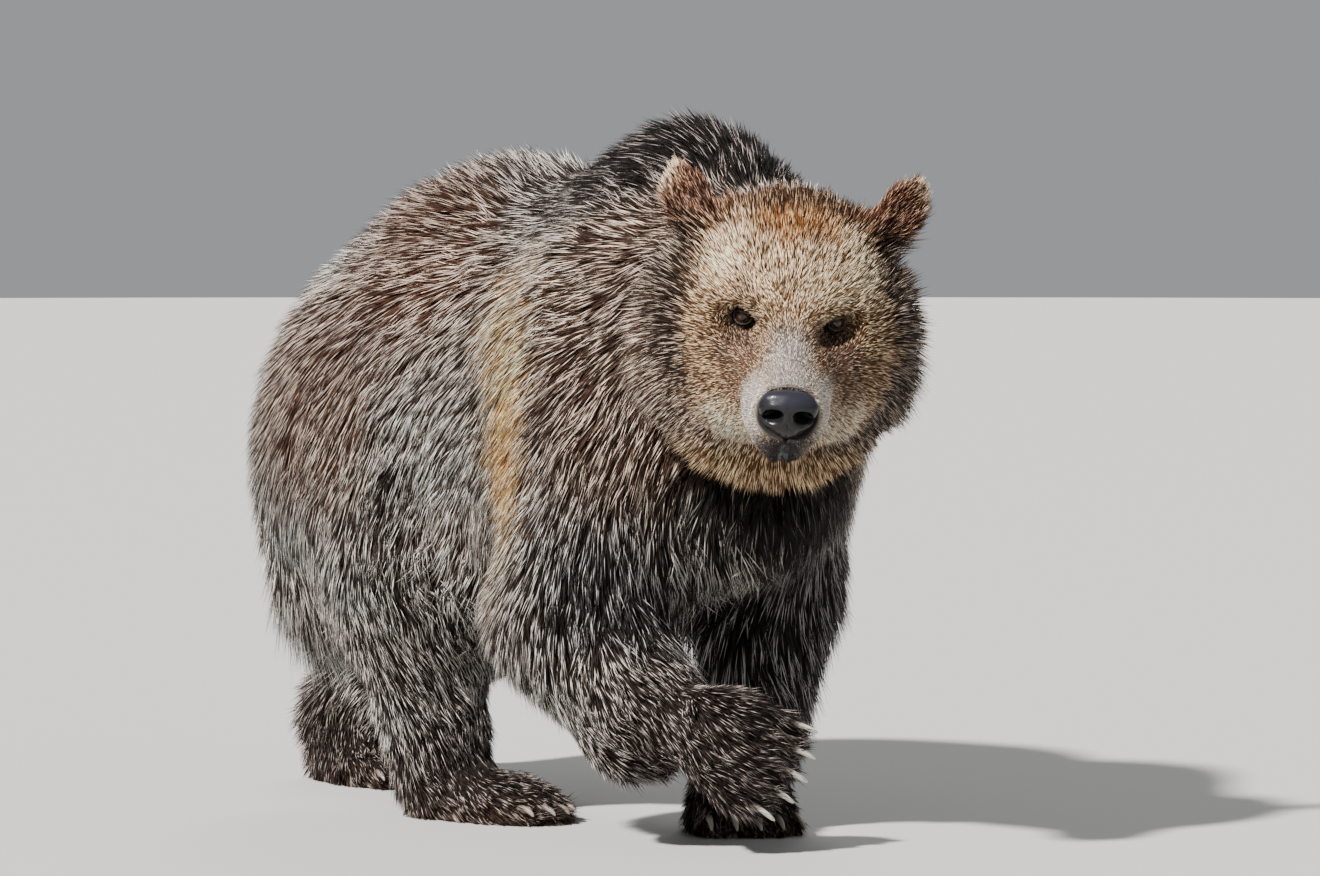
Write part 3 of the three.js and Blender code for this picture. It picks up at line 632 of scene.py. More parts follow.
MARKINGS = (
    Marking(SILVER_LOIN, (-0.03, 0.12, 1.02), (0.28, 0.46, 0.16), soft=0.6),
    Marking(SHOULDER, (-0.29, -0.34, 0.62), (0.18, 0.18, 0.26)),
    Marking(SHOULDER, (0.20, -0.34, 0.62), (0.18, 0.18, 0.26)),
    Marking(RUFF, (-0.24, -0.43, 0.80), (0.20, 0.20, 0.30), strength=0.9),
    Marking(RUFF, (0.10, -0.50, 0.80), (0.16, 0.20, 0.26), strength=0.9),
    # Painted shadow on the chest between the forelegs, under the head.
    Marking(CHEST_SHADOW, (-0.05, -0.50, 0.55), (0.19, 0.15, 0.12), soft=0.7),
    Marking(BLACK_HUMP, (-0.03, -0.27, 1.08), (0.20, 0.30, 0.14), soft=0.6),
    Marking(RUSSET, (-0.25, 0.17, 0.90), (0.15, 0.20, 0.14), strength=0.80, soft=0.9),
    Marking(RUSSET, (-0.31, 0.36, 0.68), (0.14, 0.18, 0.17), strength=0.80, soft=0.9),
    Marking(RUSSET, (0.28, 0.25, 0.84), (0.14, 0.20, 0.15), strength=0.7, soft=0.9),
    Marking(BROWN_LOIN, (-0.19, 0.23, 0.98), (0.13, 0.15, 0.10), strength=0.8, soft=0.9),
    # Painted shade in the fold between the flank and the right thigh.
    Marking(FOLD_SHADE, (-0.32, 0.17, 0.47), (0.10, 0.060, 0.18), soft=0.9),
    Marking(GOLD_BAND, (-0.32, -0.160, 0.63), (0.12, 0.060, 0.28), strength=1.0, soft=1.1),
    Marking(GOLD_BAND, (0.31, -0.155, 0.62), (0.12, 0.062, 0.26), strength=0.6, soft=1.2),
    Marking(GOLD_BAND, (-0.26, -0.090, 0.84), (0.09, 0.045, 0.10), strength=0.45, soft=1.1),
    Marking(PALE_BELLY, (-0.28, 0.04, 0.42), (0.10, 0.085, 0.14), strength=0.9, soft=0.9),
)
LEG_MARKINGS = (
    # Darker hair on the front of the right upper arm: partly its own colour, partly painted shade from the
    # head and the body above it.
    Marking(DARK_LEG, (-0.26, -0.36, 0.41), (0.14, 0.12, 0.12), strength=1.0, soft=0.9),
    Marking(SHOULDER, (-0.29, -0.41, 0.23), (0.13, 0.12, 0.09), strength=0.9, soft=0.9),
    Marking(DARK_LEG, (-0.24, 0.14, 0.18), (0.10, 0.10, 0.12), strength=0.5, soft=0.9),
)
HEAD_MARKINGS = (
    Marking(FOREHEAD, (0.0, -0.090, 0.100), (0.150, 0.100, 0.080), 1.0, 0.8),
    Marking(PALE_CHEEK, (0.080, -0.170, -0.135), (0.040, 0.070, 0.052), 0.9, 0.9),
    Marking(RUST_BROW, (0.0, -0.045, 0.165), (0.085, 0.075, 0.060), 1.0, 0.6),
    Marking(CROWN, (0.0, 0.055, 0.160), (0.190, 0.095, 0.080), 1.0, 0.5),
    Marking(CROWN, (0.150, 0.020, 0.100), (0.036, 0.070, 0.060), 0.8, 0.6),
    Marking(UNDER_EYE, (0.072, -0.150, -0.022), (0.036, 0.055, 0.030), 0.75, 0.9),
    Marking(MUZZLE_SIDE, (0.078, -0.200, -0.055), (0.014, 0.060, 0.055), 0.8, 0.9),
    Marking(BRIDGE, (0.0, -0.240, 0.005), (0.042, 0.075, 0.050), 0.95, 0.8),
    Marking(MUZZLE, (0.050, -0.250, -0.070), (0.030, 0.060, 0.058), 0.95, 0.7),
    Marking(THROAT, (0.0, -0.060, -0.270), (0.150, 0.120, 0.085), 0.85, 0.6),
    Marking(CHIN, (0.0, -0.240, -0.168), (0.070, 0.080, 0.036), 0.9, 0.6),
    Marking(EYE_RIM, (0.065, -0.128, 0.021), (0.021, 0.045, 0.016), 1.0, 0.5),
    Marking(UPPER_LIP, (0.0, -0.280, -0.102), (0.046, 0.050, 0.042), 0.95, 0.6),
    Marking(LIP, (0.0, -0.285, -0.112), (0.018, 0.040, 0.042), 1.0, 0.6),
    Marking(LIP, (0.0, -0.262, -0.142), (0.054, 0.055, 0.012), 1.0, 0.5),
)


class Markings:
    """The colours of the coat over the whole body, for the skin and the tufts alike.

    Attributes:
        face_rim: distances from the middle of the face where the face ends and the ruff begins.
        ear_front: middle of an ear's hollow.
        ear_hollow: half the size of the hollow each way.
    """

    face_rim = (0.148, 0.172)
    ear_front = (0.148, -0.012, 0.113)
    ear_hollow = (0.036, 0.034, 0.050)

    def __init__(self, head: HeadFrame, pelt: Pelt) -> None:
        """Keeps the head's directions and the pelt's measures.

        Args:
            head: the head's directions.
            pelt: the lie of the coat, which tells head, ears and legs apart.
        """
        self.head = head
        self.pelt = pelt
        self.drift = Ripple(0.16, SEED + 40)
        self.grain = Ripple(0.045, SEED + 41)

    def paint(self, rows: Array, places: Array, mark: Marking) -> Array:
        """Lays one marking over the colours.

        Args:
            rows: hair at each place so far.
            places: places in the marking's own directions, shifted a little by noise.
            mark: the marking.

        Returns:
            The hair with the marking.
        """
        away = oval(places, mark.centre, mark.half)
        share = mark.strength * ease(1.0 + mark.soft / 2.0, 1.0 - mark.soft / 2.0, away)
        return blend(rows, mark.hair.row(), share)

    def at(self, points: Array) -> Array:
        """Reads the colours.

        Args:
            points: places on the skin, one in each row.

        Returns:
            Ten numbers for each place: root, shaft and tip colour, and share of pale ends.
        """
        rows = np.tile(SILVER_BACK.row(), (len(points), 1))
        shift = np.column_stack([self.drift(points), self.grain(points), self.drift(points[:, ::-1])])
        places = points + 0.02 * shift
        for mark in MARKINGS:
            rows = self.paint(rows, places, mark)
        on_leg, down, _ = self.pelt.along_legs(points)
        rows = blend(rows, LEG.row(), 0.85 * on_leg)
        # The far foreleg is painted near black: partly its own dark hair, partly painted shade on the side
        # turned from the light.
        shaded_far_leg = on_leg * ease(-0.04, 0.02, points[:, 0]) * ease(0.05, -0.05, points[:, 1])
        rows = blend(rows, BLACK_LEG_AND_SHADE.row(), 0.85 * shaded_far_leg)
        for mark in LEG_MARKINGS:
            rows = self.paint(rows, places, mark)
        rows = blend(rows, FOOT.row(), on_leg * ease(1.4, 2.1, down))
        rows = blend(rows, RUSTY_EDGE.row(), 0.6 * on_leg * ease(0.055, 0.015, points[:, 2]))
        on_head = self.pelt.on_head(points)
        local = self.head.local(points)
        side = folded(local) + 0.006 * shift
        height = side[:, 2] + 0.035
        disc = np.hypot(side[:, 0], np.where(height > 0.0, 0.75 * height, height))
        # The ruff darkens toward the head's left, which is turned from the light: partly darker hair,
        # partly painted shade.
        ruff = blend(RUFF.row(), DARK_RUFF_AND_SHADE.row(), ease(-0.06, 0.08, local[:, 0]))
        tone = blend(FACE.row(), ruff, ease(*self.face_rim, disc) * ease(-0.17, -0.08, side[:, 1]))
        for mark in HEAD_MARKINGS:
            tone = self.paint(tone, side, mark)
        # Painted shade: a thin dark ring where the face meets the ruff, fading at the bottom on the head's
        # right and kept stronger low on its left, where the cheek lies in shade.
        painted_rim_shade = ease(0.140, 0.152, disc) * ease(0.186, 0.166, disc) * ease(0.12, 0.06, side[:, 2])
        low = 0.12 + 0.50 * ease(0.02, 0.09, local[:, 0])
        painted_rim_shade *= low + (1.0 - low) * ease(-0.135, -0.085, side[:, 2])
        tone = blend(tone, DARK_RUFF_AND_SHADE.row(), painted_rim_shade)
        rows = blend(rows, tone, on_head)
        rows = blend(rows, self.ear_tone(side), self.pelt.on_ear(points))
        rows[:, :9] *= (1.0 + 0.13 * self.drift(points) + 0.10 * self.grain(points))[:, None]
        return np.clip(rows, 0.0, 0.95)

    def ear_tone(self, side: Array) -> Array:
        """Colours the ears: pale rim, rusty middle, and the hollow darkened with painted shade.

        Args:
            side: places on the head, as if all lay on its left.

        Returns:
            The hair of an ear at each place.
        """
        # Painted shade darkens the hollow of each ear.
        hollow = ease(1.25, 0.7, oval(side, self.ear_front, self.ear_hollow))
        rim = ease(0.172, 0.200, side[:, 0] + 0.35 * (side[:, 2] - 0.124))
        rim = np.maximum(rim, ease(0.165, 0.190, side[:, 2]))
        tone = blend(EAR_RUST.row(), EAR_FRINGE.row(), 0.85 * rim)
        return blend(tone, EAR_HOLLOW_SHADE.row(), hollow)


# ---- Blender helpers


def deselect() -> None:
    """Clears the selection."""
    if bpy.context.object is not None and bpy.context.object.mode != "OBJECT":
        bpy.ops.object.mode_set(mode="OBJECT")
    bpy.ops.object.select_all(action="DESELECT")


def take(obj: bpy.types.Object) -> None:
    """Selects one object alone and makes it the active one."""
    deselect()
    obj.select_set(True)
    bpy.context.view_layer.objects.active = obj


def add_object(name: str, data: Any) -> bpy.types.Object:
    """Puts a new object with this data into the scene."""
    obj = bpy.data.objects.new(name, data)
    bpy.context.scene.collection.objects.link(obj)
    return obj


@contextmanager
def editing(obj: bpy.types.Object, everything: bool = True) -> Iterator[None]:
    """Opens an object's mesh for editing.

    Args:
        obj: the object.
        everything: whether all of it is selected first.

    Yields:
        Nothing; the mesh closes again afterwards.
    """
    take(obj)
    bpy.ops.object.mode_set(mode="EDIT")
    if everything:
        bpy.ops.mesh.select_all(action="SELECT")
    yield
    bpy.ops.object.mode_set(mode="OBJECT")


def apply_modifier(obj: bpy.types.Object, kind: str, **settings: Any) -> None:
    """Adds a modifier and applies it.

    Args:
        obj: the object that it changes.
        kind: the modifier's type.
        **settings: its settings.
    """
    take(obj)
    modifier = obj.modifiers.new(kind.title(), kind)
    for key, value in settings.items():
        setattr(modifier, key, value)
    bpy.ops.object.modifier_apply(modifier=modifier.name)


def merged_copy(names: Sequence[str], title: str, let_out: float) -> bpy.types.Object:
    """Copies solids into one object with shared corners merged.

    Args:
        names: the solids.
        title: the copy's name.
        let_out: how far each solid is let out, so that neighbours overlap.

    Returns:
        The new object.
    """
    deselect()
    copies = [add_object(title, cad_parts[name].data.copy()) for name in names]
    for copy in copies:
        copy.select_set(True)
    bpy.context.view_layer.objects.active = copies[0]
    bpy.ops.object.join()
    made = bpy.context.object
    made.name = title
    made.data.name = title
    with editing(made):
        bpy.ops.mesh.remove_doubles(threshold=0.05 * MILLIMETRE)
        bpy.ops.transform.shrink_fatten(value=let_out)
    return made


def remeshed(obj: bpy.types.Object, cell: float) -> bpy.types.Object:
    """Makes an object anew as one closed shell.

    Args:
        obj: the object.
        cell: size of the cells that the shell is made in.

    Returns:
        The largest shell, under the object's name; smaller ones inside it are deleted.
    """
    title = obj.name
    apply_modifier(obj, "REMESH", mode="VOXEL", voxel_size=cell, adaptivity=0.0)
    with editing(obj):
        bpy.ops.mesh.separate(type="LOOSE")
    shells = sorted(bpy.context.selected_objects, key=lambda shell: len(shell.data.vertices))
    for shell in shells[:-1]:
        bpy.data.objects.remove(shell)
    shells[-1].name = title
    return shells[-1]


def read(members: Any, key: str, width: int, kind: type = np.float32) -> Array:
    """Reads one property of every member of a mesh's list.

    Args:
        members: the list, such as a mesh's corners.
        key: the property.
        width: how many numbers it has.
        kind: the type of the numbers.

    Returns:
        One row for each member.
    """
    values = np.empty(len(members) * width, kind)
    members.foreach_get(key, values)
    return values.reshape(-1, width)


class Surface:
    """Arrays of a mesh.

    Attributes:
        mesh: the mesh, which is changed only by write().
        points: its points, one in each row.
        edges: the two points of each edge.
        links: how many edges meet at each point.
    """

    def __init__(self, mesh: bpy.types.Mesh) -> None:
        """Reads a mesh.

        Args:
            mesh: the mesh.
        """
        self.mesh = mesh
        self.points = read(mesh.vertices, "co", 3).astype(float)
        self.edges = read(mesh.edges, "vertices", 2, np.int32)
        self.links = np.maximum(np.bincount(self.edges.ravel(), minlength=len(self.points)), 1)

    def normals(self) -> Array:
        """Gives the way out at each point of the mesh as it was last written."""
        return read(self.mesh.vertex_normals, "vector", 3).astype(float)

    def smooth(self, values: Array, rounds: int) -> Array:
        """Evens out values over the edges.

        Args:
            values: one row for each point.
            rounds: how many times each value goes halfway to its neighbours' mean.

        Returns:
            The even values.
        """
        a, b = self.edges.T
        for _ in range(rounds):
            mean = np.empty_like(values)
            for k in range(values.shape[1]):
                total = np.bincount(a, values[b, k], len(values))
                mean[:, k] = (total + np.bincount(b, values[a, k], len(values))) / self.links
            values = values + (mean - values) * 0.5
        return values

    def write(self) -> None:
        """Puts the points back into the mesh."""
        self.mesh.vertices.foreach_set("co", self.points.astype(np.float32).ravel())
        self.mesh.update()


def put_tint(mesh: bpy.types.Mesh, colours: Array, name: str = TINT) -> None:
    """Gives each point of a mesh its colour.

    Args:
        mesh: the mesh.
        colours: red, green and blue, one row for each point.
        name: the attribute's name.
    """
    layer = mesh.color_attributes.new(name, "FLOAT_COLOR", "POINT")
    rows = np.ones((len(colours), 4), np.float32)
    rows[:, :3] = np.clip(colours, 0.0, 1.0)
    layer.data.foreach_set("color", rows.ravel())


def put_numbers(mesh: bpy.types.Mesh, numbers: Array, name: str) -> None:
    """Gives each point of a mesh a number."""
    layer = mesh.attributes.new(name, "FLOAT", "POINT")
    layer.data.foreach_set("value", numbers.astype(np.float32).ravel())


def finish_piece(
    obj: bpy.types.Object, material: bpy.types.Material, stands_for: Sequence[str] = ()
) -> None:
    """Gives a piece its material and body, and hides the solids that it stands for.

    Args:
        obj: the piece.
        material: its material.
        stands_for: the solids that it replaces, and then its faces shade smoothly.
    """
    obj.data.materials.clear()
    obj.data.materials.append(material)
    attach(obj, BODY)
    if stands_for:
        obj.data.polygons.foreach_set("use_smooth", np.ones(len(obj.data.polygons), bool))
        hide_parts(*stands_for)
    log.info("%s: %d faces", obj.name, len(obj.data.polygons))


# ---- finishes


class Wire:
    """One socket of a shader, with arithmetic."""

    def __init__(self, paint: "Paint", socket: Any) -> None:
        """Wraps a socket.

        Args:
            paint: the material that it is in.
            socket: the socket.
        """
        self.paint = paint
        self.socket = socket

    def __rmul__(self, number: float) -> "Wire":
        """Multiplies by a number."""
        return self.paint.node("ShaderNodeMath", {"operation": "MULTIPLY"}, {0: self, 1: number}, 0)

    def __rsub__(self, number: float) -> "Wire":
        """Subtracts from a number."""
        return self.paint.node("ShaderNodeMath", {"operation": "SUBTRACT"}, {0: number, 1: self}, 0)


class Paint:
    """A material under construction."""

    def __init__(self, name: str) -> None:
        """Starts a material.

        Args:
            name: its name.
        """
        self.material = bpy.data.materials.new(name)
        self.material.use_nodes = True
        self.tree = self.material.node_tree
        self.shader = self.tree.nodes["Principled BSDF"]

    def node(self, kind: str, settings: dict[str, Any], inputs: dict[Any, Any], output: Any) -> Wire:
        """Adds any node.

        Args:
            kind: the node's type.
            settings: its settings, set first.
            inputs: values or wires, by socket.
            output: the socket to hand on.

        Returns:
            The output, as a wire.
        """
        made = self.tree.nodes.new(kind)
        for key, value in settings.items():
            setattr(made, key, value)
        for key, value in inputs.items():
            self.feed(made.inputs[key], value)
        return Wire(self, made.outputs[output])

    def feed(self, socket: Any, value: Any) -> None:
        """Sets a socket to a value, or links a wire to it.

        Args:
            socket: the socket.
            value: the value or the wire.
        """
        if isinstance(value, Wire):
            self.tree.links.new(value.socket, socket)
        else:
            socket.default_value = value

    def set(self, **inputs: Any) -> None:
        """Sets the main shader's sockets, with _ for the spaces in their names."""
        for key, value in inputs.items():
            self.feed(self.shader.inputs[key.replace("_", " ")], value)

    def attribute(self, name: str, output: str = "Color") -> Wire:
        """Reads what each point of the piece was given under a name."""
        return self.node("ShaderNodeAttribute", {"attribute_name": name}, {}, output)

    def texture(self, kind: str, scale: float, output: str) -> Wire:
        """Adds a texture over the piece, with so many bumps a metre."""
        place = self.node("ShaderNodeTexCoord", {}, {}, "Object")
        return self.node(kind, {}, {"Vector": place, "Scale": scale}, output)

    def bump(self, height: Wire, strength: float, distance: float) -> Wire:
        """Turns heights into a bump."""
        inputs = {"Height": height, "Strength": strength, "Distance": distance}
        return self.node("ShaderNodeBump", {}, inputs, "Normal")


@dataclass(frozen=True)
class FurFinish:
    """Hair of the coat: darkened toward the root as painted shade deep in the coat, then the shaft's
    colour, then that of the end.

    Attributes:
        roughness: how matt it is.
        shine: how much it reflects.
        tip_from: where along a tuft the colour of its end begins.
        tip_full: where that colour is full.
        root_shade: how bright the root is, against the shaft.
        shaft_full: where along a tuft the shaft is fully bright.
    """

    roughness: float = 0.55
    shine: float = 0.14
    tip_from: float = 0.40
    tip_full: float = 0.78
    root_shade: float = 0.3
    shaft_full: float = 0.5

    def make(self) -> bpy.types.Material:
        """Makes the material.

        Returns:
            The material.
        """
        paint = Paint("coat")
        along = paint.attribute(ALONG, "Fac")
        smooth = {"interpolation_type": "SMOOTHSTEP"}
        stretch = {"Value": along, "From Min": self.tip_from, "From Max": self.tip_full}
        share = paint.node("ShaderNodeMapRange", smooth, stretch, "Result")
        # Painted shade: the shaft darkens toward the root, deep in the coat.
        rise = {"Value": along, "From Max": self.shaft_full, "To Min": self.root_shade}
        depth_shade = paint.node("ShaderNodeMapRange", smooth, rise, "Result")
        shaft = {0: paint.attribute(SHAFT), "Scale": depth_shade}
        shaft = paint.node("ShaderNodeVectorMath", {"operation": "SCALE"}, shaft, "Vector")
        mix = {0: share, 6: shaft, 7: paint.attribute(TINT)}
        colour = paint.node("ShaderNodeMix", {"data_type": "RGBA"}, mix, 2)
        paint.set(Base_Color=colour, Roughness=self.roughness, Specular_IOR_Level=self.shine)
        return paint.material


@dataclass(frozen=True)
class SkinFinish:
    """Skin with its short underfur, bare and moist on the lips and lids.

    Attributes:
        roughness: how matt it is.
        grain: bumps a metre of the underfur.
        relief: strength of those bumps, and their height in metres.
        smoother: how much less matt the moist parts are.
        film: how strongly the moist parts gleam.
    """

    roughness: float = 0.8
    grain: float = 420.0
    relief: tuple[float, float] = (0.6, 1.2 * MILLIMETRE)
    smoother: float = 0.42
    film: float = 0.7

    def make(self) -> bpy.types.Material:
        """Makes the material.

        Returns:
            The material.
        """
        paint = Paint("skin")
        wet = paint.attribute(WET, "Fac")
        underfur = paint.texture("ShaderNodeTexNoise", self.grain, "Fac")
        bump = paint.bump(underfur, *self.relief)
        roughness = self.roughness - self.smoother * wet
        paint.set(Base_Color=paint.attribute(TINT), Roughness=roughness, Normal=bump)
        paint.set(Specular_IOR_Level=0.2, Coat_Weight=self.film * wet, Coat_Roughness=0.15)
        return paint.material


@dataclass(frozen=True)
class BareFinish:
    """A hard or moist part without hair, in its own colours.

    Attributes:
        name: the material's name.
        roughness: how matt it is.
        shine: how much it reflects.
        film: how strongly a moist film gleams on it.
        film_roughness: how matt the film is.
        texture: kind and output of the texture that its bumps follow; none means no bumps.
        grain: bumps a metre.
        relief: strength of the bumps, and their height in metres.
        sunken: whether the texture's peaks are hollows.
    """

    name: str
    roughness: float
    shine: float
    film: float = 0.0
    film_roughness: float = 0.03
    texture: tuple[str, str] | None = None
    grain: float = 0.0
    relief: tuple[float, float] = (0.0, 0.0)
    sunken: bool = False

    def make(self) -> bpy.types.Material:
        """Makes the material.

        Returns:
            The material.
        """
        paint = Paint(self.name)
        paint.set(Base_Color=paint.attribute(TINT), Roughness=self.roughness)
        paint.set(Specular_IOR_Level=self.shine)
        if self.film > 0.0:
            paint.set(Coat_Weight=self.film, Coat_Roughness=self.film_roughness)
        if self.texture is not None:
            kind, output = self.texture
            height = paint.texture(kind, self.grain, output)
            paint.set(Normal=paint.bump(1.0 - height if self.sunken else height, *self.relief))
        return paint.material


WET_EYE = BareFinish("eye", 0.12, 0.3, 0.25)
PEBBLES = ("ShaderNodeTexVoronoi", "Distance")
STREAKS = ("ShaderNodeTexNoise", "Fac")
NOSE_SKIN = BareFinish("nose", 0.34, 0.20, 0.20, 0.12, PEBBLES, 620.0, (0.35, 0.5 * MILLIMETRE), True)
HORN = BareFinish("claw", 0.36, 0.5, texture=STREAKS, grain=260.0, relief=(0.25, 0.4 * MILLIMETRE))


# ---- skin


@dataclass
class Skin:
    """One closed skin under the whole coat.

    Attributes:
        head: the head's directions.
        pelt: depth and lie of the coat.
        markings: colours of the coat.
        cell: size of the cells that the skin is made in.
        overlap: how far the solids are let out to close the gaps between them.
        obj: the skin's object, once it is built.
        sole: lowest the skin goes over the ground.
        toe_reach: how far from a claw the faces are divided.
        face_reach: how far from the nose and from the eyes they are, in rounds.
        furrow: width and depth of the furrows between the toes.
        pad_middle: middle of the nose pad.
        pad_half: half its size each way.
        pad_core: place that the skin under the pad is drawn in to.
        brow: middle, width and rise of the brow: across, up, and forward.
        corner: the same of the dent at the eye's inner corner, which goes back.
        mouth: height of the line of the mouth under the nose.
        groove: half the width of that line, and its depth.
        lip: how far the lips are raised.
        eye_radius: radius of the ball that the lids lie on.
        lid: thickness of the lids.
        eye_half: half the width and half the height of the opening between the lids.
        gaze: the way that the left eye's opening faces.
        lid_fold: height, width and depth of the fold over the upper lid.
        lips_middle: middle of the moist part of the lips.
        lips_half: half its size each way.
    """

    head: HeadFrame
    pelt: Pelt
    markings: Markings
    cell: float = 0.0092
    overlap: float = 0.001
    obj: bpy.types.Object = field(init=False)
    sole = 1.5 * MILLIMETRE
    toe_reach = 0.085
    face_reach = ((0.150, 0.060), (0.075, 0.040))
    furrow = (0.005, 0.0075)
    pad_middle = np.array([0.0, -0.281, -0.045])
    pad_half = np.array([0.045, 0.031, 0.040])
    pad_core = np.array([0.0, -0.235, -0.045])
    brow = ((0.062, 0.050), (0.034, 0.017), -0.0035)
    corner = ((0.044, 0.012), (0.012, 0.020), 0.003)
    mouth = -0.136
    groove = (0.0035, 0.006)
    lip = 0.0022
    eye_radius = 0.014
    lid = 0.0022
    eye_half = (0.0122, 0.0086)
    gaze = (0.34, -0.94, 0.06)
    lid_fold = (0.0135, 0.003, 0.0022)
    lips_middle = (0.0, -0.285, -0.120)
    lips_half = (0.030, 0.04, 0.030)

    def build(self) -> None:
        """Makes the skin."""
        source = merged_copy([*FLESH, "nose", "eye_left", "eye_right"], "skin", self.overlap)
        self.obj = remeshed(source, self.cell)
        self.sink()
        self.unwrap()
        self.refine()
        self.shape_toes()
        self.shape_face()
        self.colour()
        finish_piece(self.obj, SkinFinish().make(), FLESH)

    def sink(self) -> None:
        """Rounds the facets off and sinks the skin by the coat's depth."""
        surface = Surface(self.obj.data)
        surface.points = surface.smooth(surface.points, 5)
        surface.write()
        normals = unit(surface.smooth(surface.normals(), 8))
        depth = self.pelt.at(surface.points, normals).depth
        depth = surface.smooth(depth[:, None], 6)
        surface.points -= normals * depth
        surface.points = surface.smooth(surface.points, 3)
        surface.points[:, 2] = np.maximum(surface.points[:, 2], self.sole)
        surface.write()

    def unwrap(self) -> None:
        """Unwraps the skin, for the places of the tufts' patches."""
        self.obj.data.uv_layers.new(name=BAKE_MAP)
        with editing(self.obj):
            bpy.ops.uv.smart_project(angle_limit=math.radians(75.0), island_margin=0.003)

    def split_faces(self, chosen: Array) -> None:
        """Divides the chosen faces into four.

        Args:
            chosen: one truth for each face.
        """
        mesh = self.obj.data
        bpy.context.tool_settings.mesh_select_mode = (False, False, True)
        for members in (mesh.vertices, mesh.edges):
            members.foreach_set("select", np.zeros(len(members), bool))
        mesh.polygons.foreach_set("select", chosen)
        with editing(self.obj, everything=False):
            bpy.ops.mesh.subdivide(number_cuts=1, smoothness=0.0)

    def face_centres(self) -> Array:
        """Gives the middles of the faces."""
        return read(self.obj.data.polygons, "center", 3).astype(float)

    def refine(self) -> None:
        """Divides the faces of the toes and the muzzle, then those of the eyes and the mouth."""
        claws = np.array([middle(name) for leg in LEGS for name in leg.claw_nodes()])
        gap = np.linalg.norm(self.face_centres()[:, None] - claws[None], axis=2).min(axis=1)
        self.split_faces(gap < self.toe_reach)
        for reach, eye_reach in self.face_reach:
            local = self.head.local(self.face_centres())
            near_nose = span(local - self.pelt.nose_tip) < reach
            near_eye = span(folded(local) - self.eye_place(1.0)) < eye_reach
            ahead = local[:, 1] < -0.06
            self.split_faces((near_nose | near_eye) & ahead)

    def eye_place(self, side: float) -> Array:
        """Gives the middle of an eye in the head's directions."""
        return self.head.local(middle("eye_left" if side > 0 else "eye_right"))

    def shape_toes(self) -> None:
        """Parts the toes of every foot with furrows between the claws."""
        surface = Surface(self.obj.data)
        normals = unit(surface.smooth(surface.normals(), 2))
        width, deep = self.furrow
        for leg in LEGS:
            claws = np.array([middle(name) for name in leg.claw_nodes()])
            path = leg.path()
            across = unit(claws[-1] - claws[0])
            away = surface.points - claws.mean(axis=0)
            lateral, forward = away @ across, away @ unit(path[3] - path[2])
            near = ease(0.075, 0.045, np.abs(forward + 0.02)) * ease(0.11, 0.08, np.abs(lateral))
            near *= ease(0.12, 0.09, span(away))
            seats = (claws - claws.mean(axis=0)) @ across
            furrow = np.zeros(len(lateral))
            for start, end in zip(seats[:-1], seats[1:]):
                furrow += bell((lateral - (start + end) / 2.0) / width)
            surface.points -= normals * (deep * furrow * near)[:, None]
        surface.points[:, 2] = np.maximum(surface.points[:, 2], self.sole)
        surface.write()

    def shape_face(self) -> None:
        """Shapes the brow, the lids, the mouth, the lips and the bed of the nose pad."""
        surface = Surface(self.obj.data)
        local = self.head.local(surface.points)
        local = self.shape_brow(local)
        local = self.shape_mouth(local)
        under = self.under_pad(local)
        draw_in = 0.010 * under + 0.012 * ease(0.036, 0.026, np.abs(local[:, 0])) * under
        local += unit(self.pad_core - local) * draw_in[:, None]
        for side in (-1.0, 1.0):
            local = self.shape_lids(local, side)
        surface.points = self.head.world(local)
        surface.write()

    def under_pad(self, local: Array) -> Array:
        """Tells how far places of the skin lie under the nose pad, from nought to one."""
        reach = (local - self.pad_middle) / self.pad_half
        reach[:, 2] *= np.where(reach[:, 2] > 0.0, 1.10, 1.0)
        return ease(1.12, 0.98, span(reach))

    def shape_brow(self, local: Array) -> Array:
        """Raises the brow over each eye and the fold at its inner corner.

        Args:
            local: places of the skin in the head's directions.

        Returns:
            The shaped places.
        """
        back = np.zeros(len(local))
        for (x0, z0), (wide, high), size in (self.brow, self.corner):
            back += size * bell((np.abs(local[:, 0]) - x0) / wide, (local[:, 2] - z0) / high)
        shaped = local.copy()
        shaped[:, 1] += back * ease(-0.05, -0.10, local[:, 1])
        return shaped

    def shape_mouth(self, local: Array) -> Array:
        """Cuts the line of the mouth and rounds the lips.

        Args:
            local: places of the skin in the head's directions.

        Returns:
            The shaped places.
        """
        x, y, z = local.T
        side = np.abs(x)
        above = z - (self.mouth + 0.012 * ease(0.0, 0.05, side) - 0.012 * ease(-0.25, -0.16, y))
        ahead = ease(-0.155, -0.20, y) * ease(0.085, 0.07, side)
        half, deep = self.groove
        lips = bell((above - 0.008) / 0.006) + 0.8 * bell((above + 0.009) / 0.006)
        out = unit(np.column_stack([x, np.minimum(y + 0.20, 0.0), 0.0 * side]))
        shaped = local + out * ((self.lip * lips - deep * bell(above / half)) * ahead)[:, None]
        along = np.clip(-z / 0.115, 0.0, 1.0)
        crease = bell((side - 0.046 - 0.018 * along) / 0.006) * ease(0.02, -0.01, z)
        crease *= ease(-0.135, -0.11, z) * (y < -0.13)
        shaped[:, 1] += 0.0045 * crease
        cleft = bell(side / 0.0022) * ease(self.mouth, -0.128, z) * ease(-0.072, -0.080, z)
        shaped[:, 1] += 0.004 * cleft * (y < -0.22)
        drop = ease(-0.105, -0.140, z) * ease(0.075, 0.040, side) * ease(-0.15, -0.21, y)
        shaped += np.array([0.0, -0.007, -0.010]) * drop[:, None]
        return shaped

